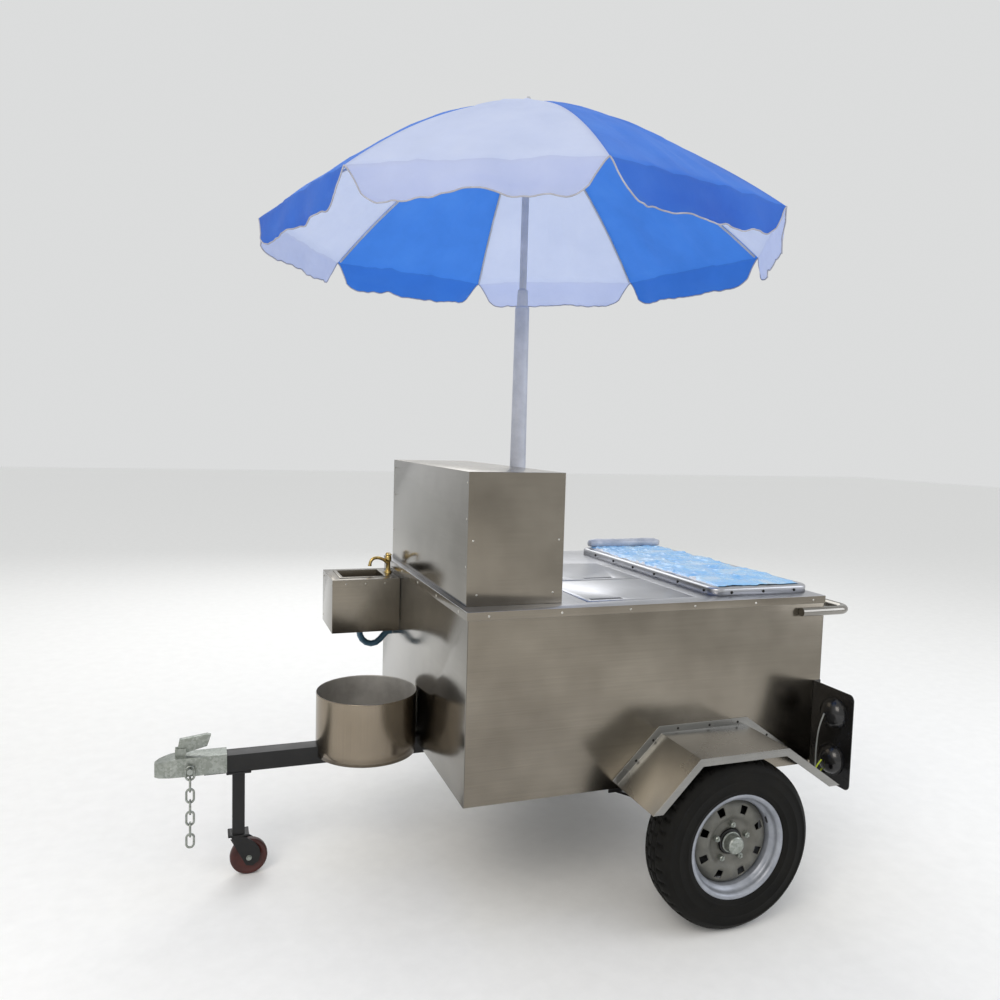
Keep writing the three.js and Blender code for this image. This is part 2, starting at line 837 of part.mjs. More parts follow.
// hanging safety chain: alternate links at right angles, welded where they meet
const CHAIN_Y = -53;
const CHAIN_WIRE = 3.6;
const CHAIN_PITCH = 37;
const CHAIN_LINKS = 7;
function link(zTop, turn, innerHalfWidth, innerLength) {
  const mid = innerHalfWidth + CHAIN_WIRE;
  const straight = innerLength + 2 * CHAIN_WIRE - 2 * mid;
  const pts = [];
  const n = 4;
  for (let i = 0; i <= n; i += 1) {
    const a = (Math.PI * i) / n;
    pts.push([mid * Math.cos(a), mid * Math.sin(a)]);
  }
  for (let i = 0; i <= n; i += 1) {
    const a = Math.PI + (Math.PI * i) / n;
    pts.push([mid * Math.cos(a), mid * Math.sin(a) - straight]);
  }
  const zc = zTop - mid;
  const loop = pts.map(([u, v]) => (turn ? [BOLT_X, CHAIN_Y + u, zc + v] : [BOLT_X + u, CHAIN_Y, zc + v]));
  return closedTube(loop, CHAIN_WIRE, 5);
}

function closedTube(points, r, sides) {
  const n = points.length;
  const pos = [];
  const idx = [];
  const v = points.map((p) => new THREE.Vector3(...p));
  const plane = new THREE.Vector3().crossVectors(v[1].clone().sub(v[0]), v[3].clone().sub(v[0])).normalize();
  for (let i = 0; i < n; i += 1) {
    const t = v[(i + 1) % n].clone().sub(v[(i + n - 1) % n]).normalize();
    const side = new THREE.Vector3().crossVectors(plane, t).normalize();
    for (let k = 0; k < sides; k += 1) {
      const a = (2 * Math.PI * k) / sides;
      const p = v[i].clone();
      p.addScaledVector(side, r * Math.cos(a));
      p.addScaledVector(plane, r * Math.sin(a));
      pos.push(p.x, p.y, p.z);
    }
  }
  for (let i = 0; i < n; i += 1) {
    const j = (i + 1) % n;
    for (let k = 0; k < sides; k += 1) {
      const k1 = (k + 1) % sides;
      idx.push(i * sides + k, j * sides + k, j * sides + k1);
      idx.push(i * sides + k, j * sides + k1, i * sides + k1);
    }
  }
  const g = new THREE.BufferGeometry();
  g.setAttribute('position', new THREE.BufferAttribute(new Float32Array(pos), 3));
  g.setIndex(idx);
  return solid(g);
}

const chain = [];
for (let i = 0; i < CHAIN_LINKS; i += 1) {
  const top = BOLT_Z + 6.4 + CHAIN_WIRE - i * (CHAIN_PITCH + 0.9);
  chain.push(link(top, i % 2 === 1, i === 0 ? 9.5 : 8, CHAIN_PITCH));
}
add('safety_chain', join(...chain), 'galvanised');

const LEG_HALF = 20;
const LEG_BOTTOM = 150;
add(
  'jack_leg',
  join(
    box(LEG_X - LEG_HALF, LEG_X + LEG_HALF, -LEG_HALF, LEG_HALF, LEG_BOTTOM, BAR_TOP - 2 * BAR_HALF - GAP),
    box(LEG_X - 40, LEG_X + 40, -32, 32, BAR_TOP - 2 * BAR_HALF - 6.3, BAR_TOP - 2 * BAR_HALF - GAP),
    box(LEG_X - 34, LEG_X + 34, -30, 30, LEG_BOTTOM - 6, LEG_BOTTOM),
    cylinder('z', 7, 7, LEG_BOTTOM - 22, LEG_BOTTOM - 1, LEG_X, 0, 12)
  ),
  'black_paint'
);

const wheelX = LEG_X + CASTER_TRAIL;
const CHEEK = [
  [LEG_X - 26, LEG_BOTTOM - 16],
  [LEG_X + 26, LEG_BOTTOM - 16],
  [wheelX + 20, 113],
  [wheelX + 33, 94],
  [wheelX + 38, 70],
  [wheelX + 30, 46],
  [wheelX + 12, 33],
  [wheelX - 10, 38],
  [wheelX - 20, 58],
];
add(
  'caster_fork',
  cut(
    join(
      cylinder('z', 26, 26, LEG_BOTTOM - 16, LEG_BOTTOM - 6.4, LEG_X, 0, 20),
      slabXZ(
        CHEEK,
        -21,
        -18
      ),
      slabXZ(
        CHEEK,
        18,
        21
      ),
      box(LEG_X - 22, LEG_X + 22, -21, 21, LEG_BOTTOM - 17, LEG_BOTTOM - 12),
      cylinder('y', 4, 4, -24, 24, wheelX, CASTER_R, 10)
    ),
    cylinder('z', 7.4, 7.4, LEG_BOTTOM - 30, LEG_BOTTOM, LEG_X, 0, 12)
  ),
  'black_paint'
);

add(
  'caster_wheel',
  turnedOnAxle(
    [
      [4.4, -17],
      [14, -17],
      [14, -13],
      [44, -11],
      [50, -15],
      [CASTER_R - 3, -15],
      [CASTER_R / Math.cos(Math.PI / 20), -11],
      [CASTER_R / Math.cos(Math.PI / 20), 11],
      [CASTER_R - 3, 15],
      [50, 15],
      [44, 11],
      [14, 13],
      [14, 17],
      [4.4, 17],
      [4.4, -17],
    ],
    20,
    wheelX,
    CASTER_R
  ),
  'red_plastic'
);

// ---- gas bottle holder ----
function holder() {
  const shell = cut(
    cylinder('z', HOLDER_R, HOLDER_R, HOLDER_BOTTOM, HOLDER_TOP, HOLDER_X, 0, 48),
    cylinder('z', HOLDER_R - SHEET, HOLDER_R - SHEET, HOLDER_BOTTOM - 5, HOLDER_TOP + 5, HOLDER_X, 0, 48)
  );
  const slots = box(HOLDER_X - 200, HOLDER_X + 200, -BAR_HALF - 1, BAR_HALF + 1, 380, BAR_TOP + GAP);
  const floor = cylinder(
    'z',
    HOLDER_R - 1,
    HOLDER_R - 1,
    BAR_TOP + GAP,
    BAR_TOP + GAP + 3,
    HOLDER_X,
    0,
    48
  );
  return join(cut(shell, slots), floor);
}
add('gas_bottle_holder', holder(), 'stainless');

// ---- sink ----
const BOWL_X = FRONT_X - 132;
const BOWL_Y = (SINK_Y0 + SINK_Y1) / 2 + 8;
const BOWL_HALF = 84;
add(
  'sink_shell',
  cut(
    box(SINK_X0, FRONT_X - GAP, SINK_Y0, SINK_Y1, SINK_BOTTOM, SINK_TOP),
    box(
      SINK_X0 + SHEET,
      FRONT_X - GAP - SHEET,
      SINK_Y0 + SHEET,
      SINK_Y1 - SHEET,
      SINK_BOTTOM - 5,
      SINK_TOP - SHEET
    ),
    box(
      BOWL_X - BOWL_HALF - 3,
      BOWL_X + BOWL_HALF + 3,
      BOWL_Y - BOWL_HALF - 3,
      BOWL_Y + BOWL_HALF + 3,
      SINK_TOP - 20,
      SINK_TOP + 20
    )
  ),
  'stainless'
);

function bowl() {
  const z1 = SINK_TOP + GAP + 1.6;
  const flange = box(
    BOWL_X - BOWL_HALF - 12,
    BOWL_X + BOWL_HALF + 12,
    BOWL_Y - BOWL_HALF - 12,
    BOWL_Y + BOWL_HALF + 12,
    SINK_TOP + GAP,
    z1
  );
  const tub = box(
    BOWL_X - BOWL_HALF,
    BOWL_X + BOWL_HALF,
    BOWL_Y - BOWL_HALF,
    BOWL_Y + BOWL_HALF,
    812,
    SINK_TOP + 1
  );
  const tail = cylinder('z', 19, 19, 742, 813, BOWL_X, BOWL_Y, 16);
  const inside = box(
    BOWL_X - BOWL_HALF + SHEET,
    BOWL_X + BOWL_HALF - SHEET,
    BOWL_Y - BOWL_HALF + SHEET,
    BOWL_Y + BOWL_HALF - SHEET,
    812 + SHEET,
    SINK_TOP + 20
  );
  return cut(join(flange, tub, tail), inside, cylinder('z', 15, 15, 735, 830, BOWL_X, BOWL_Y, 16));
}
add('sink_basin', bowl(), 'stainless');

const TAP_X = FRONT_X - 19;
const TAP_Y = BOWL_Y;
const TAP_Z = SINK_TOP + GAP;
add(
  'tap_body',
  join(
    cylinder('z', 15, 15, TAP_Z, TAP_Z + 7, TAP_X, TAP_Y, 16),
    cylinder('z', 9, 9, TAP_Z + 5, TAP_Z + 66, TAP_X, TAP_Y, 14),
    cylinder('z', 13, 11, TAP_Z + 48, TAP_Z + 70, TAP_X, TAP_Y, 14),
    tube(
      [
        [TAP_X - 2, TAP_Y, TAP_Z + 40],
        [TAP_X - 26, TAP_Y, TAP_Z + 56],
        [TAP_X - 48, TAP_Y, TAP_Z + 62],
        [TAP_X - 66, TAP_Y, TAP_Z + 56],
        [TAP_X - 74, TAP_Y, TAP_Z + 42],
        [TAP_X - 75, TAP_Y, TAP_Z + 30],
      ],
      6.5,
      10
    )
  ),
  'brass'
);

add(
  'tap_lever',
  join(
    cylinder('z', 12, 9, TAP_Z + 70.4, TAP_Z + 82, TAP_X, TAP_Y, 14),
    box(TAP_X - 5, TAP_X + 5, TAP_Y - 46, TAP_Y + 2, TAP_Z + 76, TAP_Z + 83)
  ),
  'brass'
);

// drain hose: from the tail pipe, down in a loop and back up to the front panel
const HOSE = [
  [BOWL_X, BOWL_Y, 741.5],
  [BOWL_X, BOWL_Y, 722],
  [BOWL_X + 3, BOWL_Y, 702],
  [BOWL_X + 12, BOWL_Y, 684],
  [BOWL_X + 28, BOWL_Y, 670],
  [BOWL_X + 48, BOWL_Y, 664],
  [BOWL_X + 68, BOWL_Y, 668],
  [BOWL_X + 84, BOWL_Y, 680],
  [BOWL_X + 98, BOWL_Y, 696],
  [BOWL_X + 110, BOWL_Y, 708],
  [BOWL_X + 121, BOWL_Y, 712],
  [FRONT_X - 0.4, BOWL_Y, 712],
];
add('drain_hose', tube(HOSE, 12.5, 12), 'hose');

// ---- mast ----
add(
  'umbrella_socket',
  cut(
    join(
      cylinder('z', 45, 45, COUNTER_Z + GAP, COUNTER_Z + 8, MAST_X, 0, 20).intersect(
        box(CABINET_X1 + 0.5, MAST_X + 100, -60, 60, COUNTER_Z - 10, COUNTER_Z + 20)
      ),
      cylinder('z', SOCKET_BASE_R, SOCKET_TOP_R, COUNTER_Z + 1, SOCKET_TOP, MAST_X, 0, 24),
      cylinder('z', 20, 18, SOCKET_TOP - 1, SOCKET_TOP + 62, MAST_X, 0, 20)
    ),
    cylinder('z', POLE_R + 0.6, POLE_R + 0.6, POLE_BOTTOM - 0.4, SOCKET_TOP + 80, MAST_X, 0, 16),
    cylinder('z', SOCKET_BASE_R - 5, SOCKET_TOP_R - 2, COUNTER_Z - 5, POLE_BOTTOM - 8, MAST_X, 0, 16)
  ),
  'pole'
);

function at(radius, height, azimuth, offset) {
  const a = (azimuth * Math.PI) / 180;
  const o = offset || 0;
  return [
    MAST_X + radius * Math.cos(a) - o * Math.sin(a),
    radius * Math.sin(a) + o * Math.cos(a),
    height,
  ];
}

// slots for the hinge ends are left between the teeth of the crown and of the runner
function toothed(zMid, half, core, tip) {
  const parts = [cylinder('z', core, core, zMid - half, zMid + half, MAST_X, 0, 16)];
  for (let i = 0; i < RIB_COUNT; i += 1) {
    const az = RIB_FIRST + 22.5 + (360 / RIB_COUNT) * i;
    const g = new THREE.BoxGeometry(tip - core + 2, 2.4, 2 * half);
    g.translate((tip + core - 2) / 2, 0, 0);
    g.rotateZ((az * Math.PI) / 180);
    g.translate(MAST_X, 0, zMid);
    parts.push(solid(g));
  }
  return join(...parts);
}

add(
  'umbrella_pole',
  join(
    cut(
      cylinder('z', POLE_R, POLE_R, POLE_BOTTOM, CROWN_Z + 6, MAST_X, 0, 16),
      cylinder('z', POLE_R - 1.8, POLE_R - 1.8, POLE_BOTTOM - 5, CROWN_Z - 20, MAST_X, 0, 12)
    ),
    toothed(CROWN_Z, 9, 18, 23),
    cylinder('z', 50, 14, CROWN_Z + 5.5, CROWN_Z + 17, MAST_X, 0, 16),
    cylinder('z', 10, 5, CROWN_Z + 16, CROWN_Z + 38, MAST_X, 0, 12)
  ),
  'pole'
);

add(
  'umbrella_runner',
  cut(
    join(
      toothed(RUNNER_Z, 9, 20, 23),
      cylinder('z', 18, 18, RUNNER_Z - 42, RUNNER_Z - 5, MAST_X, 0, 16)
    ),
    cylinder('z', POLE_R + 0.6, POLE_R + 0.6, RUNNER_Z - 60, RUNNER_Z + 60, MAST_X, 0, 16)
  ),
  'black_plastic'
);

// rib centreline: chord from the crown to the rim, bowed upward
const chordX = RIM_R - RIB_PIVOT_R;
const chordZ = RIM_Z - CROWN_Z;
const chord = Math.hypot(chordX, chordZ);
function ribPoint(s, lift) {
  const rise = 4 * RIB_RISE * s * (1 - s) + (lift || 0);
  const r = RIB_PIVOT_R + chordX * s - (chordZ / chord) * rise;
  const z = CROWN_Z + chordZ * s + (chordX / chord) * rise;
  return [r, z];
}

// a flat bar in the radial plane of an azimuth, between two lines of (radius, height) points
function radialBar(upper, lower, azimuth, width, offset) {
  const g = new THREE.ExtrudeGeometry(polygonShape(upper.concat(lower.slice().reverse())), {
    depth: width,
    bevelEnabled: false,
  });
  g.rotateX(Math.PI / 2);
  g.translate(0, width / 2 + (offset || 0), 0);
  g.rotateZ((azimuth * Math.PI) / 180);
  g.translate(MAST_X, 0, 0);
  return solid(g);
}

const STAY_OFFSET = 7;
for (let i = 0; i < RIB_COUNT; i += 1) {
  const az = RIB_FIRST + (360 / RIB_COUNT) * i;
  const upper = [];
  const lower = [];
  for (let k = 0; k <= 8; k += 1) {
    const s = 0.002 + (0.985 * k) / 8;
    upper.push(ribPoint(s, 3.5));
    lower.push(ribPoint(s, -3.5));
  }
  const [jr, jz] = ribPoint(RIB_STAY, 0);
  const rib = radialBar(upper, lower, az, 7, 0);
  add(`rib_${i + 1}`, rib, 'galvanised');

  const dr = jr - RUNNER_PIVOT_R;
  const dz = jz - 8 - RUNNER_Z;
  const len = Math.hypot(dr, dz);
  const nr = (-dz / len) * 3;
  const nz = (dr / len) * 3;
  const stay = radialBar(
    [
      [RUNNER_PIVOT_R - 0.5 + nr, RUNNER_Z + nz],
      [jr + nr, jz - 8 + nz],
    ],
    [
      [RUNNER_PIVOT_R - 0.5 - nr, RUNNER_Z - nz],
      [jr - nr, jz - 8 - nz],
    ],
    az,
    5,
    STAY_OFFSET
  );
  add(`stretcher_${i + 1}`, stay, 'galvanised');
}

// ---- canopy: cloth over the ribs, sagging between them, with a hanging valance ----
function canopy() {
  const nr = 7;
  const nt = 4;
  const lift = 5.5;
  const rows = [];
  const count = RIB_COUNT * nt;
  const cosHalf = Math.cos(Math.PI / RIB_COUNT);
  function ringPoint(s, j, extra) {
    const u = (j % nt) / nt;
    const a0 = RIB_FIRST + (360 / RIB_COUNT) * Math.floor(j / nt);
    const p = at(...ribPoint(s, lift + extra), a0, 0);
    const q = at(...ribPoint(s, lift + extra), a0 + 360 / RIB_COUNT, 0);
    const sag = 4 * u * (1 - u) * 26 * s * (1.15 - s);
    return [
      p[0] + (q[0] - p[0]) * u,
      p[1] + (q[1] - p[1]) * u,
      p[2] + (q[2] - p[2]) * u + sag * 0.6,
    ];
  }
  const s0 = 0.012;
  for (let k = 0; k <= nr; k += 1) {
    const s = s0 + (1 - s0) * (k / nr);
    const top = [];
    for (let j = 0; j < count; j += 1) {
      top.push(ringPoint(s, j, CLOTH));
    }
    rows.push(top);
  }
  function hang(j, drop, out) {
    const p = ringPoint(1, j, out > 0 ? CLOTH : 0);
    const dx = p[0] - MAST_X;
    const len = Math.hypot(dx, p[1]);
    const grow = out;
    return [p[0] + (dx / len) * grow, p[1] + (p[1] / len) * grow, p[2] - drop];
  }
  const out1 = [];
  const out2 = [];
  const in2 = [];
  const in1 = [];
  for (let j = 0; j < count; j += 1) {
    const u = (j % nt) / nt;
    const wave = VALANCE - 16 * (1 - 4 * u * (1 - u));
    out1.push(hang(j, 30, 2));
    out2.push(hang(j, wave, 2));
    in2.push(hang(j, wave, 0));
    in1.push(hang(j, 30, 0));
  }
  rows.push(out1, out2, in2, in1);
  for (let k = nr; k >= 0; k -= 1) {
    const s = s0 + (1 - s0) * (k / nr);
    const under = [];
    for (let j = 0; j < count; j += 1) {
      under.push(ringPoint(s, j, 0));
    }
    rows.push(under);
  }
  const pos = [];
  const idx = [];
  for (const row of rows) {
    for (const p of row) {
      pos.push(...p);
    }
  }
  const n = rows.length;
  for (let k = 0; k < n; k += 1) {
    const k1 = (k + 1) % n;
    for (let j = 0; j < count; j += 1) {
      const j1 = (j + 1) % count;
      const a = k * count + j;
      const b = k * count + j1;
      const c = k1 * count + j1;
      const d = k1 * count + j;
      idx.push(a, d, c, a, c, b);
    }
  }
  const g = new THREE.BufferGeometry();
  g.setAttribute('position', new THREE.BufferAttribute(new Float32Array(pos), 3));
  g.setIndex(idx);
  return solid(g);
}
add('canopy', canopy(), 'cloth');

export default group;
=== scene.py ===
import json
import math

import bmesh
import bpy
from mathutils import Matrix, Vector, noise

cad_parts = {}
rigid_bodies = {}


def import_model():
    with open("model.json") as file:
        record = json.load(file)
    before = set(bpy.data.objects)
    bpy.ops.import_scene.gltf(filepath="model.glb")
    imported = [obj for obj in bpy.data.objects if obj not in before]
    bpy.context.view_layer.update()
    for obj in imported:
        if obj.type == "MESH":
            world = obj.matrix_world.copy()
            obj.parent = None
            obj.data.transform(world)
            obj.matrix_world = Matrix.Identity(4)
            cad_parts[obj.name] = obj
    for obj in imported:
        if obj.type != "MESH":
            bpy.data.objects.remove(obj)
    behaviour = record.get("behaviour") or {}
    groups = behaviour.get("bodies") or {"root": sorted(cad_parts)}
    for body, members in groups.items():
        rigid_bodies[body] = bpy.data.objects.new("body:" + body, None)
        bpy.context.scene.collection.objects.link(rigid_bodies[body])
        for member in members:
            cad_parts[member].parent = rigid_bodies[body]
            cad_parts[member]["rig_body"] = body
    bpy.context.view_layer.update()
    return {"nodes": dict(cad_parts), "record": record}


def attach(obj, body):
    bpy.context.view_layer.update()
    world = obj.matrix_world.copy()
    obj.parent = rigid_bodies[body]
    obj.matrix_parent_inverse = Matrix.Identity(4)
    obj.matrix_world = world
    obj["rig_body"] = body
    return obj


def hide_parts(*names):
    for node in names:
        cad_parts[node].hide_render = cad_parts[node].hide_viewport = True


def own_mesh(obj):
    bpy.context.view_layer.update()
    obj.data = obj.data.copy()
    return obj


# Towable vending cart. Metres, X to the rear, Y to the side with the sink, Z up.

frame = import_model()
NODES = frame["nodes"]
SLOT_OF = {s["node"]: s["material_slot"] for s in frame["record"]["subparts"]}

# the body: its front and rear faces, half its width, the counter's top
FRONT_X = -0.2625
REAR_X = FRONT_X + 1.29
BODY_HALF = 0.585
COUNTER_Z = 1.0
# the road wheels
AXLE_X = FRONT_X + 0.826
WHEEL_R = 0.2725
AXLE = (AXLE_X, 0, WHEEL_R)
# the umbrella: its pole, the crown's height and the turn of each rib
MAST_X = FRONT_X + 0.368
CROWN_Z = 2.69
RIB_COUNT = 8
RIB_FIRST = math.radians(-98)
RIB_STEP = math.radians(45)
# the bolt that the safety chain hangs from
BOLT_X = FRONT_X - 0.765
BOLT_Z = 0.405
# the gas bottle holder and the caster
HOLDER_X = FRONT_X - 0.18
CASTER_X = FRONT_X - 0.612 + 0.034
# the serving cover
COVER_X = (FRONT_X + 0.881, FRONT_X + 1.278)
COVER_Y = (-0.527, 0.510)
COVER_MIDDLE = (sum(COVER_X) / 2, sum(COVER_Y) / 2)
# each pair of lamps
LAMP_X = FRONT_X + 1.262
LAMP_Y = 0.69
TAIL_Z, TURN_Z = 0.624, 0.466
# doubled points closer than this are merged
MERGE = 0.00002


# ---------------------------------------------------------------- finishes

def tone(code):
    """An sRGB hex colour as linear red, green, blue and alpha."""
    parts = [int(code[i : i + 2], 16) / 255 for i in (1, 3, 5)]
    return [c / 12.92 if c <= 0.04045 else ((c + 0.055) / 1.055) ** 2.4 for c in parts] + [1]


def feed(tree, node, inputs):
    """Sets a node's inputs to plain values, or links them to an output or to another node's first output."""
    for key, value in inputs.items():
        if isinstance(value, bpy.types.Node):
            value = value.outputs[0]
        if isinstance(value, bpy.types.NodeSocket):
            tree.links.new(value, node.inputs[key])
        else:
            node.inputs[key].default_value = value


def add_node(tree, kind, inputs, stops=(), **settings):
    """A node with its settings, its inputs set or linked, and a colour ramp's (place, hex) stops."""
    node = tree.nodes.new(kind)
    for key, value in settings.items():
        setattr(node, key, value)
    feed(tree, node, inputs)
    if stops:
        band = node.color_ramp
        while len(band.elements) < len(stops):
            band.elements.new(0.5)
        for element, (where, code) in zip(band.elements, stops):
            element.position = where
            element.color = tone(code)
    return node


def grains(size_mm):
    """The scale of a speckled pattern whose grains have this size."""
    return 1000 / size_mm


def bands(pitch_mm):
    """The scale of a banded pattern with this pitch: the wave node turns 20 radians a metre at scale 1."""
    return 2 * math.pi / 20 * 1000 / pitch_mm


def blank(name, metallic, roughness):
    """A new material, its tree, its shader with plain values set, and the place on the piece."""
    material = bpy.data.materials.new(name)
    material.use_nodes = True
    tree = material.node_tree
    shader = tree.nodes["Principled BSDF"]
    feed(tree, shader, {"Metallic": metallic, "Roughness": roughness})
    place = add_node(tree, "ShaderNodeTexCoord", {}).outputs["Object"]
    return material, tree, shader, place


def brushed(name, along, dark, light, roughness):
    """Cold rolled stainless sheet, brushed along one axis: long faint streaks and soft smears in a blurred gloss."""
    material, tree, shader, place = blank(name, 1.0, roughness)
    # the grit's lines are 0.2 mm wide, drawn 1.22 mm wide so that they show, and 200 mm long
    stretch = [grains(200) if letter == along else grains(1.22) for letter in "XYZ"]
    lines = add_node(tree, "ShaderNodeMapping", {"Vector": place, "Scale": stretch})
    grain = add_node(tree, "ShaderNodeTexNoise", {"Vector": lines, "Scale": 1.0, "Detail": 3.0})
    # wiping leaves smears about 290 mm across
    smear = add_node(
        tree, "ShaderNodeTexNoise", {"Vector": place, "Scale": grains(285.7), "Detail": 3.0, "Roughness": 0.6}
    )
    tint = add_node(tree, "ShaderNodeValToRGB", {"Fac": smear}, [(0.30, dark), (0.70, light)])
    streak = add_node(tree, "ShaderNodeValToRGB", {"Fac": grain}, [(0.30, "#eeeeee"), (0.70, "#ffffff")])
    both = add_node(tree, "ShaderNodeVectorMath", {0: tint, 1: streak}, operation="MULTIPLY")
    rough = add_node(
        tree, "ShaderNodeMapRange", {"Value": smear, "To Min": roughness - 0.05, "To Max": roughness + 0.09}
    )
    bump = add_node(tree, "ShaderNodeBump", {"Height": grain, "Strength": 0.03, "Distance": 0.0003})
    feed(tree, shader, {"Base Color": both, "Roughness": rough, "Normal": bump})
    return material


def painted(name, dark, light, roughness, metallic=0.0, peel=1.11, coat=0.0, shine=0.5):
    """Sprayed enamel or moulded plastic: nearly one colour, with orange peel (its size in mm) and a little dust."""
    material, tree, shader, place = blank(name, metallic, roughness)
    # dust gathers in patches about 71 mm across
    dust = add_node(
        tree, "ShaderNodeTexNoise", {"Vector": place, "Scale": grains(71.43), "Detail": 5.0, "Roughness": 0.65}
    )
    skin = add_node(tree, "ShaderNodeTexNoise", {"Vector": place, "Scale": grains(peel), "Detail": 2.0})
    tint = add_node(tree, "ShaderNodeValToRGB", {"Fac": dust}, [(0.35, dark), (0.68, light)])
    rough = add_node(
        tree, "ShaderNodeMapRange", {"Value": dust, "To Min": roughness - 0.1, "To Max": roughness + 0.14}
    )
    bump = add_node(tree, "ShaderNodeBump", {"Height": skin, "Strength": 0.12, "Distance": 0.0004})
    feed(tree, shader, {"Base Color": tint, "Roughness": rough, "Normal": bump})
    feed(tree, shader, {"Coat Weight": coat, "Specular IOR Level": shine})
    return material


def hot_dip_zinc():
    """Hot dip galvanised steel: dull grey crystals about 7 mm across, clouded every 33 mm."""
    material, tree, shader, place = blank("hot_dip_zinc", 0.85, 0.5)
    crystal = add_node(tree, "ShaderNodeTexVoronoi", {"Vector": place, "Scale": grains(7.143)})
    cloud = add_node(tree, "ShaderNodeTexNoise", {"Vector": place, "Scale": grains(33.33), "Detail": 4.0})
    hue = add_node(tree, "ShaderNodeSeparateColor", {"Color": crystal.outputs["Color"]})
    mixed = add_node(tree, "ShaderNodeMath", {0: hue.outputs["Red"], 1: cloud}, operation="MULTIPLY")
    tint = add_node(tree, "ShaderNodeValToRGB", {"Fac": mixed}, [(0.05, "#8c918a"), (0.60, "#a9ada8")])
    rough = add_node(tree, "ShaderNodeMapRange", {"Value": hue.outputs["Green"], "To Min": 0.36, "To Max": 0.50})
    feed(tree, shader, {"Base Color": tint, "Roughness": rough})
    return material


def tyre_rubber():
    """Cured carbon black rubber: matt, a little browner where road dust clings in patches 110 mm across."""
    material, tree, shader, place = blank("tyre_rubber", 0.0, 0.62)
    dust = add_node(
        tree, "ShaderNodeTexNoise", {"Vector": place, "Scale": grains(111.1), "Detail": 6.0, "Roughness": 0.7}
    )
    fine = add_node(tree, "ShaderNodeTexNoise", {"Vector": place, "Scale": grains(0.714), "Detail": 2.0})
    tint = add_node(tree, "ShaderNodeValToRGB", {"Fac": dust}, [(0.35, "#0b0b0a"), (0.75, "#191815")])
    rough = add_node(tree, "ShaderNodeMapRange", {"Value": dust, "To Min": 0.5, "To Max": 0.78})
    bump = add_node(tree, "ShaderNodeBump", {"Height": fine, "Strength": 0.25, "Distance": 0.0005})
    feed(tree, shader, {"Base Color": tint, "Roughness": rough, "Normal": bump, "Specular IOR Level": 0.14})
    return material


def woven_polyester(name, dark, shade, light, glow):
    """Plain woven polyester: a soft sheen over crossing threads, and the glow of the daylight behind it."""
    material, tree, shader, place = blank(name, 0.0, 0.72)
    # threads are 0.4 mm apart, drawn 2.4 mm apart so that they show
    weave = [
        add_node(
            tree,
            "ShaderNodeTexWave",
            {"Vector": place, "Scale": bands(2.417), "Distortion": 0.6, "Detail": 1.0},
            bands_direction=direction,
        )
        for direction in ("X", "Y")
    ]
    crossed = add_node(
        tree, "ShaderNodeMath", {0: weave[0].outputs["Fac"], 1: weave[1].outputs["Fac"]}, operation="ADD"
    )
    # creases from folding lie about 200 mm apart; the cloth's colour follows them too, darker in their hollows as
    # painted shade
    fold = add_node(
        tree, "ShaderNodeTexNoise", {"Vector": place, "Scale": grains(200), "Detail": 5.0, "Roughness": 0.55}
    )
    tint = add_node(tree, "ShaderNodeValToRGB", {"Fac": fold}, [(0.30, dark), (0.52, shade), (0.74, light)])
    bump = add_node(tree, "ShaderNodeBump", {"Height": crossed, "Strength": 0.10, "Distance": 0.0005})
    crease = add_node(
        tree, "ShaderNodeBump", {"Height": fold, "Strength": 0.35, "Distance": 0.02, "Normal": bump}
    )
    feed(tree, shader, {"Base Color": tint, "Normal": crease, "Sheen Weight": 0.15, "Sheen Roughness": 0.5})
    through = add_node(tree, "ShaderNodeBsdfTranslucent", {"Color": tone(glow), "Normal": crease})
    mixed = add_node(tree, "ShaderNodeMixShader", {0: 0.5, 1: shader, 2: through})
    feed(tree, tree.nodes["Material Output"], {"Surface": mixed})
    return material


def stretch_film():
    """Thin blue polyethylene film: glossy, and white along the folds where it has crumpled."""
    material, tree, shader, place = blank("polyethylene_film", 0.0, 0.22)
    # crumples are about 170 mm apart
    pool = add_node(
        tree,
        "ShaderNodeTexNoise",
        {"Vector": place, "Scale": grains(166.7), "Detail": 6.0, "Roughness": 0.6, "Distortion": 0.8},
    )
    hues = [(0.30, "#6fb2ea"), (0.47, "#8cc3ee"), (0.58, "#a9cfe9"), (0.72, "#c9d6e2")]
    tint = add_node(tree, "ShaderNodeValToRGB", {"Fac": pool}, hues)
    rough = add_node(tree, "ShaderNodeMapRange", {"Value": pool, "To Min": 0.12, "To Max": 0.4})
    bump = add_node(tree, "ShaderNodeBump", {"Height": pool, "Strength": 0.5, "Distance": 0.006})
    feed(tree, shader, {"Base Color": tint, "Roughness": rough, "Normal": bump})
    return material


def yellow_metal():
    """Polished brass: bright, a little browner in the patches, 17 mm across, where it has tarnished."""
    material, tree, shader, place = blank("polished_brass", 1.0, 0.2)
    tarnish = add_node(tree, "ShaderNodeTexNoise", {"Vector": place, "Scale": grains(16.67), "Detail": 4.0})
    tint = add_node(tree, "ShaderNodeValToRGB", {"Fac": tarnish}, [(0.35, "#9c7f42"), (0.65, "#d7bf80")])
    rough = add_node(tree, "ShaderNodeMapRange", {"Value": tarnish, "To Min": 0.14, "To Max": 0.34})
    feed(tree, shader, {"Base Color": tint, "Roughness": rough})
    return material


def lens(name, code):
    """Moulded acrylic: a clear gloss over fine ribs, 4 mm apart."""
    material, tree, shader, place = blank(name, 0.0, 0.12)
    rib = add_node(tree, "ShaderNodeTexWave", {"Vector": place, "Scale": bands(3.927)}, bands_direction="Z")
    bump = add_node(tree, "ShaderNodeBump", {"Height": rib.outputs["Fac"], "Strength": 0.6, "Distance": 0.001})
    feed(tree, shader, {"Base Color": tone(code), "Coat Weight": 0.6, "Normal": bump})
    return material
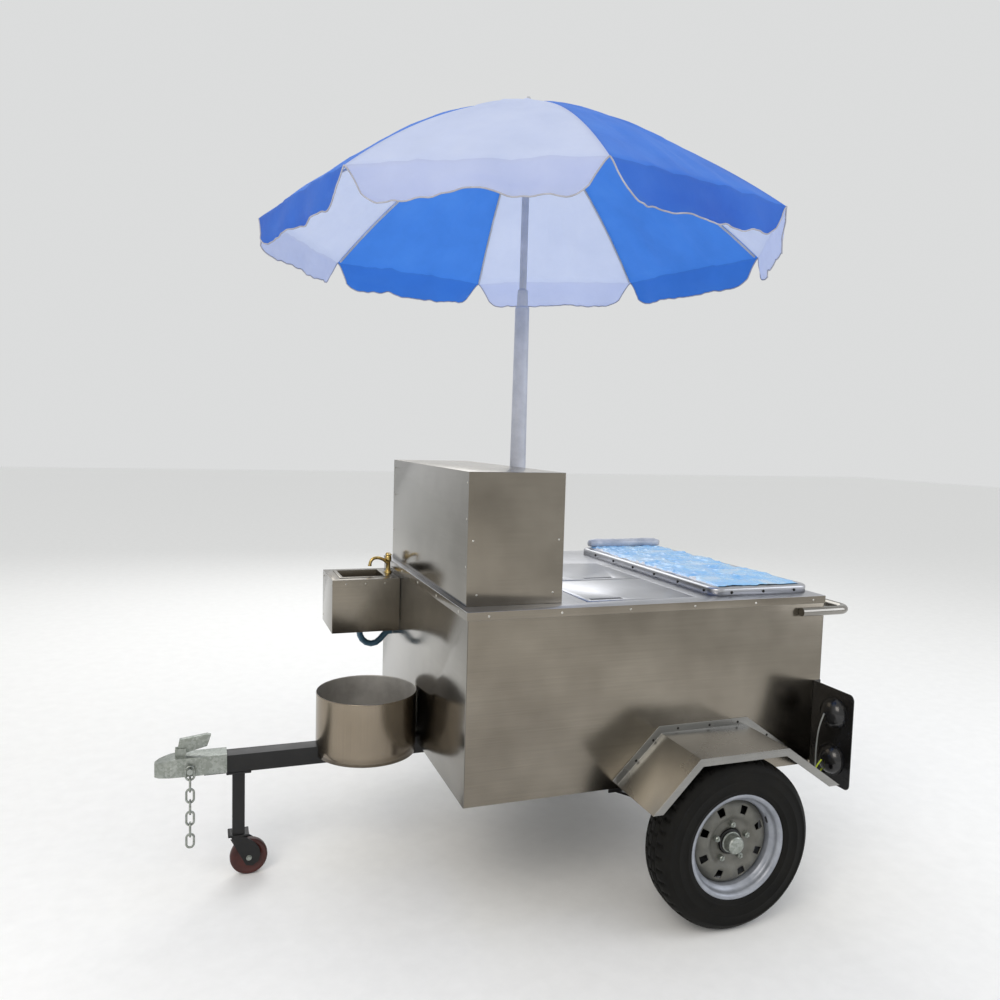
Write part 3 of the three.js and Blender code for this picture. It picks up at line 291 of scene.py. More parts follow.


# stainless sheet: the grain's way follows the sheet, and each copy's tone is painted light for the faces it covers: the
# warm brown of the side panels and the holder is a painted reflection of the ground, and the fenders' copy is painted
# lighter
STAINLESS = brushed("brushed_stainless", "X", "#827b70", "#968f83", 0.20)
STAINLESS_ACROSS = brushed("brushed_stainless_across", "Y", "#86837d", "#9b9892", 0.15)
STAINLESS_BRIGHT = brushed("brushed_stainless_bright", "X", "#8b8a87", "#a09f9b", 0.26)
STAINLESS_UP = brushed("brushed_stainless_upright", "Z", "#857a6b", "#9a8f7f", 0.22)
STAINLESS_MATT = painted("matt_rolled_stainless", "#a09d98", "#b5b2ad", 0.5, metallic=0.55, peel=1.43)
COUNTER = brushed("brushed_countertop", "Y", "#a9aaad", "#bfc0c4", 0.30)
# running gear: crystals on the zinc, deep black enamel, a dull sparkle in the wheel's silver paint; the barrel's silver
# is the lit copy of that paint, and the disc's darker copy is painted shade of its recess
ZINC = hot_dip_zinc()
BLACK_ENAMEL = painted("black_enamel", "#0b0b0c", "#161615", 0.4, coat=0.1, shine=0.35)
WHEEL_SILVER = painted("silver_wheel_paint", "#868a92", "#a2a6ae", 0.36, metallic=0.4)
# the disc's silver is painted darker: painted shade, as the disc sits recessed in the rim
DISC_SILVER_PAINTED_SHADE = painted("silver_paint_painted_shade", "#565650", "#6f6e68", 0.5, metallic=0.3)
RUBBER = tyre_rubber()
OXBLOOD = painted("oxblood_polyurethane", "#32100b", "#4b1a12", 0.45)
BOLT = painted("blackened_steel", "#171513", "#2b2825", 0.45, metallic=0.6)
RIVET = painted("bright_aluminium", "#a8a69f", "#d2d0c9", 0.3, metallic=1.0)
# lamps: glossy black housings, ribbed lenses and soft wire
BLACK_ABS = painted("black_abs", "#09090a", "#131315", 0.22, peel=0.833, coat=0.3)
RED_LENS = lens("red_acrylic", "#7a0d10")
AMBER_LENS = lens("amber_acrylic", "#c4661a")
GREY_WIRE = painted("grey_pvc_wire", "#6f716f", "#8b8d8b", 0.5)
EARTH_WIRE = painted("yellow_green_wire", "#9fb422", "#c3d23a", 0.45)
# tap and drain: bright brass and a satin hose
BRASS = yellow_metal()
HOSE = painted("grey_blue_pvc", "#31576d", "#4a7189", 0.35, coat=0.2)
# umbrella: fine peel on the pole, cloth in two colours with a matt tape along its edge
POLE_POWDER = painted("white_powder_coat", "#aeb1b8", "#c4c6cd", 0.38, peel=2.0)
BLUE_CLOTH = woven_polyester("blue_polyester", "#2a63c8", "#3a76dc", "#4a86e6", "#4a92f4")
WHITE_CLOTH = woven_polyester("white_polyester", "#cbd5ef", "#d5def6", "#dfe7fb", "#d0dcfa")
# the flaps hang in the shade of the cover, so their cloth is a little darker
BLUE_FLAP = woven_polyester("blue_polyester_flap", "#2050ae", "#2d62be", "#3c72ce", "#3f84e8")
WHITE_FLAP = woven_polyester("white_polyester_flap", "#bcc6e2", "#c8d0ea", "#d2daf1", "#c6d2f5")
BINDING = painted("grey_binding_tape", "#9c9ca6", "#b9bac4", 0.8, peel=1.43)
# protective film: clear blue where it lies flat, milky where it is wound up
FILM = stretch_film()
ROLLED_FILM = painted("rolled_polyethylene_film", "#a7acb6", "#c9ccd3", 0.3, peel=16.67, coat=0.3)


# ---------------------------------------------------------------- makers

def settle(piece, body, nodes, slot):
    """Puts a piece in the scene, riding a body, in place of CAD nodes, which it hides."""
    bpy.context.scene.collection.objects.link(piece)
    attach(piece, body)
    if nodes:
        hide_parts(*nodes)
        slot = slot or SLOT_OF[nodes[0]]
    return piece


def put(name, bm, finish, body, nodes=(), edge=0.0, segments=2, slot=None, more=()):
    """Makes a bmesh a smooth piece with softened edges."""
    mesh = bpy.data.meshes.new(name)
    bm.to_mesh(mesh)
    bm.free()
    for material in [finish, *more]:
        mesh.materials.append(material)
    mesh.shade_smooth()
    piece = bpy.data.objects.new(name, mesh)
    if edge:
        bevel = piece.modifiers.new("softened_edges", "BEVEL")
        bevel.width = edge
        bevel.segments = segments
        bevel.limit_method = "ANGLE"
        bevel.angle_limit = math.radians(34)
        bevel.harden_normals = True
    return settle(piece, body, nodes, slot)


def walled(piece, thickness, offset=-1.0):
    """Gives a sheet piece its thickness."""
    wall = piece.modifiers.new("wall", "SOLIDIFY")
    wall.thickness = thickness
    wall.offset = offset


def softened(node, finish, edge, segments=2, ends=None, sides=None):
    """A copy of a folded or cut part with rounded edges. ends and sides are the finishes of what faces X or Y."""
    bm = bmesh.new()
    bm.from_mesh(NODES[node].data)
    bmesh.ops.remove_doubles(bm, verts=bm.verts, dist=MERGE)
    merge_flats(bm)
    more = [ends or finish, sides or finish] if ends or sides else []
    if more:
        for f in bm.faces:
            f.material_index = 1 if abs(f.normal.x) > 0.7 else 2 if abs(f.normal.y) > 0.7 else 0
    return put(node + "_finished", bm, finish, NODES[node]["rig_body"], [node], edge, segments, more=more)


def merge_flats(bm):
    """Joins triangles that lie in one plane into whole faces."""
    bmesh.ops.dissolve_limit(
        bm, angle_limit=math.radians(0.6), verts=bm.verts, edges=bm.edges, use_dissolve_boundaries=False
    )


def block(bm, size, middle):
    """Adds a square-edged block and returns its corners."""
    corners = bmesh.ops.create_cube(bm, size=1.0)["verts"]
    bmesh.ops.scale(bm, vec=size, verts=corners)
    bmesh.ops.translate(bm, vec=middle, verts=corners)
    return corners


def spun(profile, centre, axis, steps, bm=None, closed=False):
    """Turns a (radius, along) profile round an axis letter through centre."""
    bm = bm or bmesh.new()
    centre = Vector(centre)
    line = Vector([float(letter == axis) for letter in "XYZ"])
    out = Vector((0, 0, 1)) if axis == "X" else Vector((1, 0, 0))
    verts = [bm.verts.new(centre + out * r + line * a) for r, a in profile]
    edges = [bm.edges.new(pair) for pair in zip(verts, verts[1:])]
    if closed:
        edges.append(bm.edges.new((verts[-1], verts[0])))
    bmesh.ops.spin(
        bm,
        geom=verts + edges,
        cent=centre,
        axis=line,
        dvec=(0, 0, 0),
        angle=2 * math.pi,
        steps=steps,
        use_merge=True,
    )
    bmesh.ops.remove_doubles(bm, verts=bm.verts, dist=MERGE)
    bmesh.ops.recalc_face_normals(bm, faces=bm.faces)
    return bm


def upright_on(point, way):
    """The placing that stands a shape on point with its Z along way."""
    return Matrix.Translation(point) @ Vector(way).to_track_quat("Z", "Y").to_matrix().to_4x4()


def rod(bm, start, end, radius, sides=16, radius_end=None):
    """Adds a capped round bar between two points."""
    start, end = Vector(start), Vector(end)
    bmesh.ops.create_cone(
        bm,
        cap_ends=True,
        segments=sides,
        radius1=radius,
        radius2=radius if radius_end is None else radius_end,
        depth=(end - start).length,
        matrix=upright_on((start + end) / 2, end - start),
    )


def swept(points, radius, sides):
    """A capped tube carried along a line of points."""
    bm = bmesh.new()

    def stand(k):
        return upright_on(points[k], points[min(k + 1, len(points) - 1)] - points[max(k - 1, 0)])

    bmesh.ops.create_circle(bm, cap_ends=False, segments=sides, radius=radius, matrix=stand(0))
    edges = first = bm.edges[:]
    for k in range(1, len(points)):
        grown = bmesh.ops.extrude_edge_only(bm, edges=edges)["geom"]
        verts = [g for g in grown if isinstance(g, bmesh.types.BMVert)]
        edges = [g for g in grown if isinstance(g, bmesh.types.BMEdge)]
        bmesh.ops.transform(bm, matrix=stand(k) @ stand(k - 1).inverted(), verts=verts)
    bmesh.ops.edgeloop_fill(bm, edges=first)
    bmesh.ops.edgeloop_fill(bm, edges=edges)
    bmesh.ops.recalc_face_normals(bm, faces=bm.faces)
    return bm


def dome(bm, point, normal, radius, height):
    """Adds a low round rivet or screw head on a surface."""
    flat = Matrix.Diagonal((radius, radius, height, 1))
    bmesh.ops.create_uvsphere(
        bm, u_segments=14, v_segments=8, radius=1.0, matrix=upright_on(point, normal) @ flat
    )


def hexagon(bm, point, normal, radius, height):
    """Adds a hexagonal bolt head or nut standing on its washer."""
    way = Vector(normal).normalized()
    rod(bm, point, Vector(point) + way * height, radius, 6)
    rod(bm, point, Vector(point) + way * height * 0.25, radius * 1.25, 18)


def line_piece(name, routes, radius, finish, body, nodes=(), slot=None, cyclic=False, bezier=False, sides=4):
    """Round wire or tube along one or more routes of points."""
    curve = bpy.data.curves.new(name, "CURVE")
    curve.dimensions = "3D"
    curve.bevel_depth = radius
    curve.bevel_resolution = sides
    curve.resolution_u = curve.render_resolution_u = 8
    curve.use_fill_caps = True
    for route in routes:
        spline = curve.splines.new("BEZIER" if bezier else "POLY")
        points = spline.bezier_points if bezier else spline.points
        points.add(len(route) - 1)
        for p, at in zip(points, route):
            if bezier:
                p.co = at
                p.handle_left_type = p.handle_right_type = "AUTO"
            else:
                p.co = (*at, 1)
        spline.use_cyclic_u = cyclic
        spline.use_smooth = True
    curve.materials.append(finish)
    return settle(bpy.data.objects.new(name, curve), body, nodes, slot)


# ---------------------------------------------------------------- body and counter

for name in ("side_panel_left", "side_panel_right", "floor_panel"):
    softened(name, STAINLESS, 0.0006)
for name in ("front_panel", "rear_panel", "rear_door"):
    softened(name, STAINLESS_ACROSS, 0.0006)
softened("countertop", COUNTER, 0.0018, 3, ends=STAINLESS_ACROSS, sides=STAINLESS)
softened("steam_pan", STAINLESS, 0.0008)
softened("well_lid_left", COUNTER, 0.0008)
softened("well_lid_right", COUNTER, 0.0008)
softened("tank_cabinet", STAINLESS, 0.0022, 3, ends=STAINLESS_ACROSS)
softened("sink_shell", STAINLESS, 0.0016, 3, ends=STAINLESS_ACROSS)
softened("sink_basin", STAINLESS, 0.0012, 3)
for side in ("left", "right"):
    softened("fender_" + side, STAINLESS_BRIGHT, 0.0009)


def handle_route():
    """Two arms, two quarter bends and the crossbar of the push handle."""
    radius, bend, height, touch = 0.015, 0.045, 0.95, 0.0005
    y = BODY_HALF + touch + radius
    end = FRONT_X + 1.4 - radius
    near = [(FRONT_X + 1.182, -y), (end - bend - 0.04, -y)]
    for i in range(9):
        a = math.radians(-90 + 90 * i / 8)
        near.append((end - bend + bend * math.cos(a), -y + bend + bend * math.sin(a)))
    return [(x, v, height) for x, v in near] + [(x, -v, height) for x, v in reversed(near)]


line_piece("push_handle_tube", [handle_route()], 0.015, STAINLESS_ACROSS, "cart", ["push_handle"], sides=7)


def rivets():
    """Round heads along the counter's hem, up the cabinet's corners and on the sink."""
    hem = {"radius": 0.0042, "height": 0.0018}
    small = {"radius": 0.0035, "height": 0.0016}
    hem_z, hem_out = COUNTER_Z - 0.014, 0.0023
    bm = bmesh.new()
    for side in (-1, 1):
        for i in range(6):
            dome(bm, (FRONT_X + 0.065 + 0.235 * i, side * (BODY_HALF + hem_out), hem_z), (0, side, 0), **hem)
        for x, z in ((0.035, 1.20), (0.316, 1.20), (0.05, 1.035), (0.30, 1.035)):
            dome(bm, (FRONT_X + x, side * 0.51, z), (0, side, 0), **small)
        for z in (1.375, 1.265, 1.12):
            dome(bm, (FRONT_X + 0.018, side * 0.497, z), (-1, 0, 0), **small)
            dome(bm, (FRONT_X + 0.333, side * 0.497, z), (1, 0, 0), **small)
    for y in (-0.5, -0.25, 0.0, 0.25, 0.5):
        dome(bm, (FRONT_X - hem_out, y, hem_z), (-1, 0, 0), **hem)
        dome(bm, (REAR_X + hem_out, y, hem_z), (1, 0, 0), **hem)
    for x in (-0.21, -0.135, -0.06):
        dome(bm, (FRONT_X + x, 0.285, 0.935), (0, -1, 0), 0.003, 0.0014)
    for y in (0.3, 0.53):
        for z in (0.93, 0.77):
            dome(bm, (FRONT_X - 0.262, y, z), (-1, 0, 0), **small)
    return bm


def fender_screws():
    """Heads along each fender's inner flange, which is screwed to the side panel."""
    bm = bmesh.new()
    for side in (-1, 1):
        for x, z in ((-0.25, 0.494), (-0.19, 0.555), (-0.1, 0.586), (0.02, 0.586), (0.13, 0.586), (0.25, 0.53)):
            dome(bm, (AXLE_X + x, side * (BODY_HALF + 0.0025), z), (0, side, 0), 0.0046, 0.0022)
    return bm


put("rivets", rivets(), RIVET, "cart", slot="stainless_steel")
put("fender_screws", fender_screws(), BOLT, "cart", slot="black_paint")


# ---------------------------------------------------------------- serving cover and its film

def cover_top():
    """The low raised cover: rounded corners, a rolled top edge and a shallow dished top."""
    bm = bmesh.new()
    bmesh.ops.create_grid(bm, x_segments=1, y_segments=1, size=0.5)
    bmesh.ops.scale(bm, vec=(COVER_X[1] - COVER_X[0], COVER_Y[1] - COVER_Y[0], 1), verts=bm.verts)
    bmesh.ops.translate(bm, vec=(*COVER_MIDDLE, COUNTER_Z + 0.0003), verts=bm.verts)
    bmesh.ops.bevel(
        bm, geom=bm.verts[:], offset=0.042, segments=10, profile=0.5, affect="VERTICES", material=-1
    )
    face = bm.faces[:][0]
    if face.normal.z < 0:
        bmesh.ops.reverse_faces(bm, faces=[face])
    # the wall goes straight up, then rolls over to the top
    for inset, rise in ((0.0, 0.0205), (0.0015, 0.0040), (0.0035, 0.0025), (0.0060, 0.0007)):
        grown = bmesh.ops.extrude_discrete_faces(bm, faces=[face])["faces"][0]
        if face.is_valid:
            bmesh.ops.delete(bm, geom=[face], context="FACES_ONLY")
        face = grown
        bmesh.ops.translate(bm, vec=(0, 0, rise), verts=face.verts[:])
        centre = face.calc_center_median()
        for v in face.verts:
            v.co.x += inset * (1 if v.co.x < centre.x else -1)
            v.co.y += inset * (1 if v.co.y < centre.y else -1)
    for width, depth in ((0.012, 0.0), (0.006, -0.0022)):
        bmesh.ops.inset_region(bm, faces=[face], thickness=width, depth=depth)
    return bm


def cover_bolts():
    """Hexagon heads round the cover's wall."""
    stand_off, height = 0.0001, COUNTER_Z + 0.012
    head = {"radius": 0.0042, "height": 0.003}
    bm = bmesh.new()
    for end, edge_x, edge_y in ((-1, COVER_X[0], COVER_Y[0]), (1, COVER_X[1], COVER_Y[1])):
        for i in range(6):
            hexagon(bm, (edge_x + end * stand_off, COVER_Y[0] + 0.06 + 0.165 * i, height), (end, 0, 0), **head)
        for i in range(3):
            hexagon(bm, (COVER_X[0] + 0.07 + 0.128 * i, edge_y + end * stand_off, height), (0, end, 0), **head)
    return bm


walled(put("serving_cover_finished", cover_top(), COUNTER, "cart", ["serving_cover"]), 0.0016)
put("cover_bolts", cover_bolts(), BOLT, "cart", slot="black_paint")


def crumpled_film():
    """The protective film on the cover, crumpled and a little ragged at its edges."""
    width, length = 0.352, 0.985
    bm = bmesh.new()
    bmesh.ops.create_grid(bm, x_segments=96, y_segments=220, size=0.5)
    for v in bm.verts:
        x, y = v.co.x, v.co.y
        edge = 1 - max(abs(x), abs(y)) * 2
        wander = noise.noise(Vector((x * 4, y * 11, 3.1))) * 0.014
        px = x * width + wander * (abs(x) * 2) ** 3
        py = y * length + noise.noise(Vector((x * 9, y * 6, 9.7))) * 0.016 * (abs(y) * 2) ** 6
        here = Vector((px * 13, py * 13, 0.4))
        fold = noise.hetero_terrain(here, 0.9, 2.1, 5, 0.6)
        ridge = 1 - abs(noise.noise(Vector((px * 22 + 5, py * 17, 2.2))) * 2)
        lift = 0.0035 + 0.0042 * max(0.0, fold - 0.25) + 0.0065 * max(0.0, ridge - 0.45)
        # the long edges cling to the cover
        cling = (0.35 + 0.65 * min(1.0, edge * 12)) * (1.0 if abs(x) < 0.46 else 0.4)
        v.co = (px, py, lift * cling)
    bmesh.ops.translate(bm, vec=(*COVER_MIDDLE, COUNTER_Z + 0.0275), verts=bm.verts)
    # a ragged milky border runs down both long edges
    for f in bm.faces:
        c = f.calc_center_median()
        border = 0.166 + 0.010 * noise.noise(c * 30)
        f.material_index = 1 if abs(c.x - COVER_MIDDLE[0]) > border else 0
    return bm


film = put("protective_film", crumpled_film(), FILM, "cart", slot="canopy_cloth", more=[ROLLED_FILM])
walled(film, 0.0005)


def film_roll():
    """The film's spare end, rolled up loosely across the far end of the cover."""
    low, high = COVER_X[0] + 0.022, COVER_X[1] - 0.02
    y, z = COVER_Y[1] - 0.036, COUNTER_Z + 0.0485
    count = 40
    line = []
    for k in range(count + 1):
        t = k / count
        sway = 0.010 * noise.noise(Vector((t * 3, 0.5, 0.1)))
        line.append(Vector((low + (high - low) * t, y + sway, z)))
    bm = swept(line, 0.0195, 32)
    for v in bm.verts:
        t = (v.co.x - low) / (high - low)
        middle = Vector((v.co.x, y, z))
        # it is looser in the middle and pinched at its ends
        pinch = min(1.0, 0.45 + 7 * min(t, 1 - t)) ** 0.5
        v.co = middle + (v.co - middle) * (pinch + 0.10 * noise.noise(v.co * 55))
        v.co.x = max(low, min(high, v.co.x))
    return bm


put("protective_film_roll", film_roll(), ROLLED_FILM, "cart", slot="canopy_cloth")


# ---------------------------------------------------------------- lamps

def lamp_plate(side):
    """A plate square to the panel with the cups and bezels of two round lamps, cups in front; their lenses, made apart,
    sit behind.
    """
    depth, height, outer = 0.003, 0.32, 0.775
    inner = BODY_HALF + 0.0033
    bm = bmesh.new()
    block(bm, (depth, outer - inner, height), (LAMP_X + depth / 2, side * (outer + inner) / 2, 0.545))
    corners = [
        e
        for e in bm.edges
        if abs(e.verts[0].co.x - e.verts[1].co.x) > depth / 2 and abs(e.verts[0].co.y) > LAMP_Y
    ]
    bmesh.ops.bevel(bm, geom=corners, offset=0.02, segments=6, profile=0.5, affect="EDGES", material=-1)
    # the flange that is screwed to the side panel
    block(bm, (0.028, 0.0032, 0.285), (LAMP_X + 0.014, side * 0.587, 0.5625))
    cup = [
        (0.0, -0.0345), (0.012, -0.0340), (0.024, -0.0315), (0.034, -0.0270), (0.042, -0.0205),
        (0.0475, -0.0130), (0.0505, -0.0065), (0.0515, -0.0040), (0.0545, -0.0035), (0.0550, 0.0),
        (0.055, 0.001), (0.0, 0.001),
    ]
    bezel = [
        (0.0, 0.002), (0.056, 0.002), (0.056, 0.012), (0.0535, 0.0145), (0.049, 0.0145), (0.049, 0.006),
        (0.0, 0.006),
    ]
    for z in (TAIL_Z, TURN_Z):
        centre = Vector((LAMP_X, side * LAMP_Y, z))
        spun(cup, centre, "X", 48, bm)
        spun(bezel, centre, "X", 48, bm)
        hexagon(bm, centre - Vector((0.034, 0, 0)), (-1, 0, 0), 0.006, 0.006)
        for end in (-1, 1):
            hexagon(bm, centre + Vector((0, end * side * 0.032, end * 0.06)), (-1, 0, 0), 0.004, 0.003)
    return bm


def lamp_lens(side, z):
    """A lens bulging from its bezel."""
    bulge = [(0.0, 0.0), (0.0485, 0.0), (0.0485, 0.008), (0.044, 0.014), (0.030, 0.0185), (0.0, 0.020)]
    return spun(bulge, (LAMP_X + 0.0062, side * LAMP_Y, z), "X", 48)


# each lead leaves its lamp's cup, hangs, and goes in under the plate: steps forward of the plate, out and up
GREY_LEAD = (
    (0.04, 0.69, 0.625), (0.05, 0.683, 0.58), (0.048, 0.672, 0.52), (0.04, 0.662, 0.46),
    (0.03, 0.655, 0.42), (0.012, 0.65, 0.405), (0.0005, 0.645, 0.404),
)
EARTH_LEAD = (
    (0.04, 0.69, 0.467), (0.052, 0.684, 0.445), (0.05, 0.672, 0.42), (0.034, 0.664, 0.406),
    (0.014, 0.66, 0.415), (0.0005, 0.657, 0.43),
)

for side, word in ((-1, "left"), (1, "right")):
    plate = "lamp_plate_" + word
    put(plate + "_finished", lamp_plate(side), BLACK_ABS, "cart", [plate], 0.0006)
    for lamp, z, glass in (("tail", TAIL_Z, RED_LENS), ("turn", TURN_Z, AMBER_LENS)):
        put(lamp + "_lens_" + word, lamp_lens(side, z), glass, "cart", edge=0.0006, slot="black_plastic")
    for lead, steps, radius, wire in (
        ("grey", GREY_LEAD, 0.0026, GREY_WIRE),
        ("earth", EARTH_LEAD, 0.0024, EARTH_WIRE),
    ):
        route = [(LAMP_X - ahead, side * out, up) for ahead, out, up in steps]
        line_piece(lead + "_lead_" + word, [route], radius, wire, "cart", slot="black_plastic", bezier=True, sides=3)


# ---------------------------------------------------------------- running gear

for name in ("chassis_frame", "leaf_spring_left", "leaf_spring_right", "axle", "drawbar", "jack_leg"):
    softened(name, BLACK_ENAMEL, 0.0012)
softened("caster_fork", BLACK_ENAMEL, 0.0008)


def mirror_if(bm, side):
    """Turns a left-hand shape into a right-hand one."""
    if side > 0:
        bmesh.ops.scale(bm, vec=(1, -1, 1), verts=bm.verts)
        bmesh.ops.reverse_faces(bm, faces=bm.faces)
    return bm


def from_axle(point):
    """How far a point is from the axle's line, and its share of a turn round it."""
    x, z = point.x - AXLE_X, point.z - WHEEL_R
    return math.hypot(x, z), (math.atan2(z, x) / (2 * math.pi)) % 1.0


# the tyre's middle plane and the outer face of the wheel's disc, on the left side
TYRE_MIDDLE = -0.7375
DISC_Y = -0.752


def tyre(side):
    """A trailer tyre: ribbed shoulders, tread blocks cut by narrow grooves, moulded rings on the wall."""
    outer = [
        (0.1556, -0.7896), (0.1662, -0.7924), (0.1668, -0.7962), (0.1700, -0.7990), (0.1760, -0.8010),
        (0.1800, -0.8025), (0.1815, -0.8040), (0.1845, -0.8040), (0.1860, -0.8030), (0.1980, -0.8045),
        (0.2120, -0.8052), (0.2135, -0.8060), (0.2165, -0.8060), (0.2180, -0.8050), (0.2300, -0.8045),
        (0.2420, -0.8020), (0.2430, -0.8030), (0.2450, -0.8025), (0.2500, -0.7990), (0.2580, -0.7930),
        (0.2640, -0.7860), (0.2680, -0.7790),
    ]
    tread = [
        (0.2695, -0.7740), (0.2712, -0.7610), (0.2712, -0.7590), (0.2650, -0.7582), (0.2650, -0.7562),
        (0.2718, -0.7554), (0.2725, -0.7415), (0.2725, -0.7407), (0.2655, -0.7400), (0.2655, -0.7380),
    ]
    half = outer + tread
    profile = half + [(r, 2 * TYRE_MIDDLE - y) for r, y in reversed(half)]
    inside = [
        (0.1560, -0.7000), (0.1900, -0.6830), (0.2350, -0.6830), (0.2560, -0.7010),
        (0.2560, -0.7740), (0.2350, -0.7920), (0.1900, -0.7920), (0.1560, -0.7780),
    ]
    steps = 168
    bm = spun(profile + inside, AXLE, "Y", steps, closed=True)
    cuts = []
    for face in bm.faces:
        r, turn = from_axle(face.calc_center_median())
        k = int(turn * steps)
        across = abs(face.calc_center_median().y - TYRE_MIDDLE)
        shoulder = r > 0.262 and 0.0245 < across < 0.048 and k % 4 == 0
        crown = r > 0.2705 and 0.005 < across < 0.0195 and k % 4 == 2
        if shoulder or crown:
            cuts.append(face)
    bmesh.ops.inset_individual(bm, faces=cuts, thickness=0.0012, depth=0.0)
    for face in cuts:
        for v in face.verts:
            away = v.co - Vector(AXLE)
            away.y = 0
            v.co -= away.normalized() * 0.0055
    return mirror_if(bm, side)


def wheel_barrel(side):
    """The pressed rim: lips, bead seats and a dropped middle."""
    profile = [
        (0.1662, -0.7960), (0.1668, -0.7945), (0.1655, -0.7925), (0.1600, -0.7912), (0.1556, -0.7885),
        (0.1530, -0.7800), (0.1520, -0.7730), (0.1470, -0.7700), (0.1400, -0.7650), (0.1390, -0.7600),
        (0.1390, -0.7180), (0.1420, -0.7120), (0.1510, -0.7070), (0.1530, -0.6990), (0.1556, -0.6895),
        (0.1600, -0.6868), (0.1655, -0.6855), (0.1665, -0.6835), (0.1655, -0.6822), (0.1600, -0.6830),
        (0.1530, -0.6860), (0.1500, -0.6980), (0.1480, -0.7050), (0.1390, -0.7100), (0.1358, -0.7160),
        (0.1358, -0.7630), (0.1375, -0.7670), (0.1450, -0.7725), (0.1488, -0.7760), (0.1505, -0.7830),
        (0.1525, -0.7915), (0.1580, -0.7942), (0.1635, -0.7965),
    ]
    return mirror_if(spun(profile, AXLE, "Y", 112, closed=True), side)


def wheel_disc(side):
    """The pressed disc: a raised ring with eight windows and embossed ribs between them."""
    profile = [
        (0.0415, -0.7520), (0.0500, -0.7520), (0.0640, -0.7522), (0.0720, -0.7535), (0.0780, -0.7590),
        (0.0840, -0.7620), (0.0930, -0.7625), (0.1020, -0.7622), (0.1110, -0.7612), (0.1200, -0.7590),
        (0.1270, -0.7545), (0.1325, -0.7490), (0.1352, -0.7450), (0.1356, -0.7400),
    ]
    windows = 8
    bm = spun(profile, AXLE, "Y", 112)
    gone = []
    for face in bm.faces:
        r, turn = from_axle(face.calc_center_median())
        if 0.0935 < r < 0.1195 and abs(turn * windows % 1.0 - 0.5) < 0.155:
            gone.append(face)
    bmesh.ops.delete(bm, geom=gone, context="FACES")
    # an embossed rib stands between each two windows
    low, high = 0.078, 0.126
    for v in bm.verts:
        r, turn = from_axle(v.co)
        if low < r < high:
            rib = max(0.0, math.cos(2 * math.pi * windows * turn))
            swell = math.sin((r - low) / (high - low) * math.pi)
            v.co.y -= 0.0055 * rib * swell
    bmesh.ops.recalc_face_normals(bm, faces=bm.faces)
    if sum(f.normal.y for f in bm.faces) > 0:
        bmesh.ops.reverse_faces(bm, faces=bm.faces)
    return mirror_if(bm, side)


def hub_flange(side):
    """Hub with its flange and black centre ring, which is painted shade of the wheel's centre bore."""
    profile = [
        (0.0178, -0.690), (0.034, -0.690), (0.036, -0.692), (0.036, -0.730), (0.040, -0.7335), (0.060, -0.736),
        (0.062, -0.738), (0.062, DISC_Y + 0.0043), (0.0405, DISC_Y + 0.0040), (0.0395, DISC_Y - 0.004),
        (0.0300, DISC_Y - 0.006), (0.0178, DISC_Y - 0.006),
    ]
    return mirror_if(spun(profile, AXLE, "Y", 56, closed=True), side)


def grease_cap(side):
    """The pressed cap over the bearing, and five studs with their nuts."""
    cap = [
        (0.0, 0.0065), (0.0325, 0.0065), (0.0330, 0.0095), (0.0300, 0.0105), (0.0290, 0.0150), (0.0288, 0.0300),
        (0.0275, 0.0350), (0.0240, 0.0380), (0.0150, 0.0388), (0.0, 0.0390),
    ]
    bm = spun([(r, DISC_Y - out) for r, out in cap], AXLE, "Y", 56)
    studs, circle = 5, 0.057
    for i in range(studs):
        a = i * 2 * math.pi / studs + 0.3
        x, z = AXLE_X + circle * math.cos(a), WHEEL_R + circle * math.sin(a)
        # the stud, its nut and the nut's cone
        for start, end, radius, sides, tip in (
            (-0.01, 0.020, 0.0044, 12, 0.0044), (0.0006, 0.014, 0.0096, 6, 0.0096), (0.013, 0.0165, 0.0088, 12, 0.006)
        ):
            rod(bm, (x, DISC_Y - start, z), (x, DISC_Y - end, z), radius, sides, tip)
    return mirror_if(bm, side)


def window_shade_plate(side):
    """A dark fixed plate behind the wheel's windows, clear of the hub: painted shade seen through the windows."""
    profile = [
        (0.0200, -0.6820), (0.0700, -0.6820), (0.1050, -0.6850), (0.1310, -0.7040), (0.1332, -0.7180),
        (0.1318, -0.7182), (0.1296, -0.7050), (0.1040, -0.6868), (0.0700, -0.6840), (0.0200, -0.6840),
    ]
    return mirror_if(spun(profile, AXLE, "Y", 72, closed=True), side)


def valve_stem(side):
    """The rubber stem standing through the rim."""
    bm = bmesh.new()
    foot, tip = (AXLE_X + 0.118, side * 0.768, WHEEL_R + 0.068), (AXLE_X + 0.108, side * 0.789, WHEEL_R + 0.062)
    rod(bm, foot, tip, 0.0032)
    return bm


for side, word in ((-1, "left"), (1, "right")):
    body = word + "_wheel"
    put("tyre_" + word + "_finished", tyre(side), RUBBER, body, ["tyre_" + word])
    put("rim_barrel_" + word, wheel_barrel(side), WHEEL_SILVER, body, ["wheel_rim_" + word])
    walled(put("rim_disc_" + word, wheel_disc(side), DISC_SILVER_PAINTED_SHADE, body, ["wheel_rim_" + word]), 0.0034)
    # the hub's black is painted shade of the centre bore round the grease cap
    put("hub_" + word + "_finished", hub_flange(side), BLACK_ENAMEL, body, ["hub_" + word], 0.0006)
    put("grease_cap_" + word, grease_cap(side), ZINC, body, ["hub_" + word], 0.0006)
    # a dark sheet behind each wheel's windows, standing for the shade seen through them
    put("window_shade_plate_" + word, window_shade_plate(side), BLACK_ENAMEL, "cart", slot="black_paint")
    put("valve_stem_" + word, valve_stem(side), BLACK_ABS, body, edge=0.0006, slot="tyre_rubber")


# ---------------------------------------------------------------- drawbar fittings

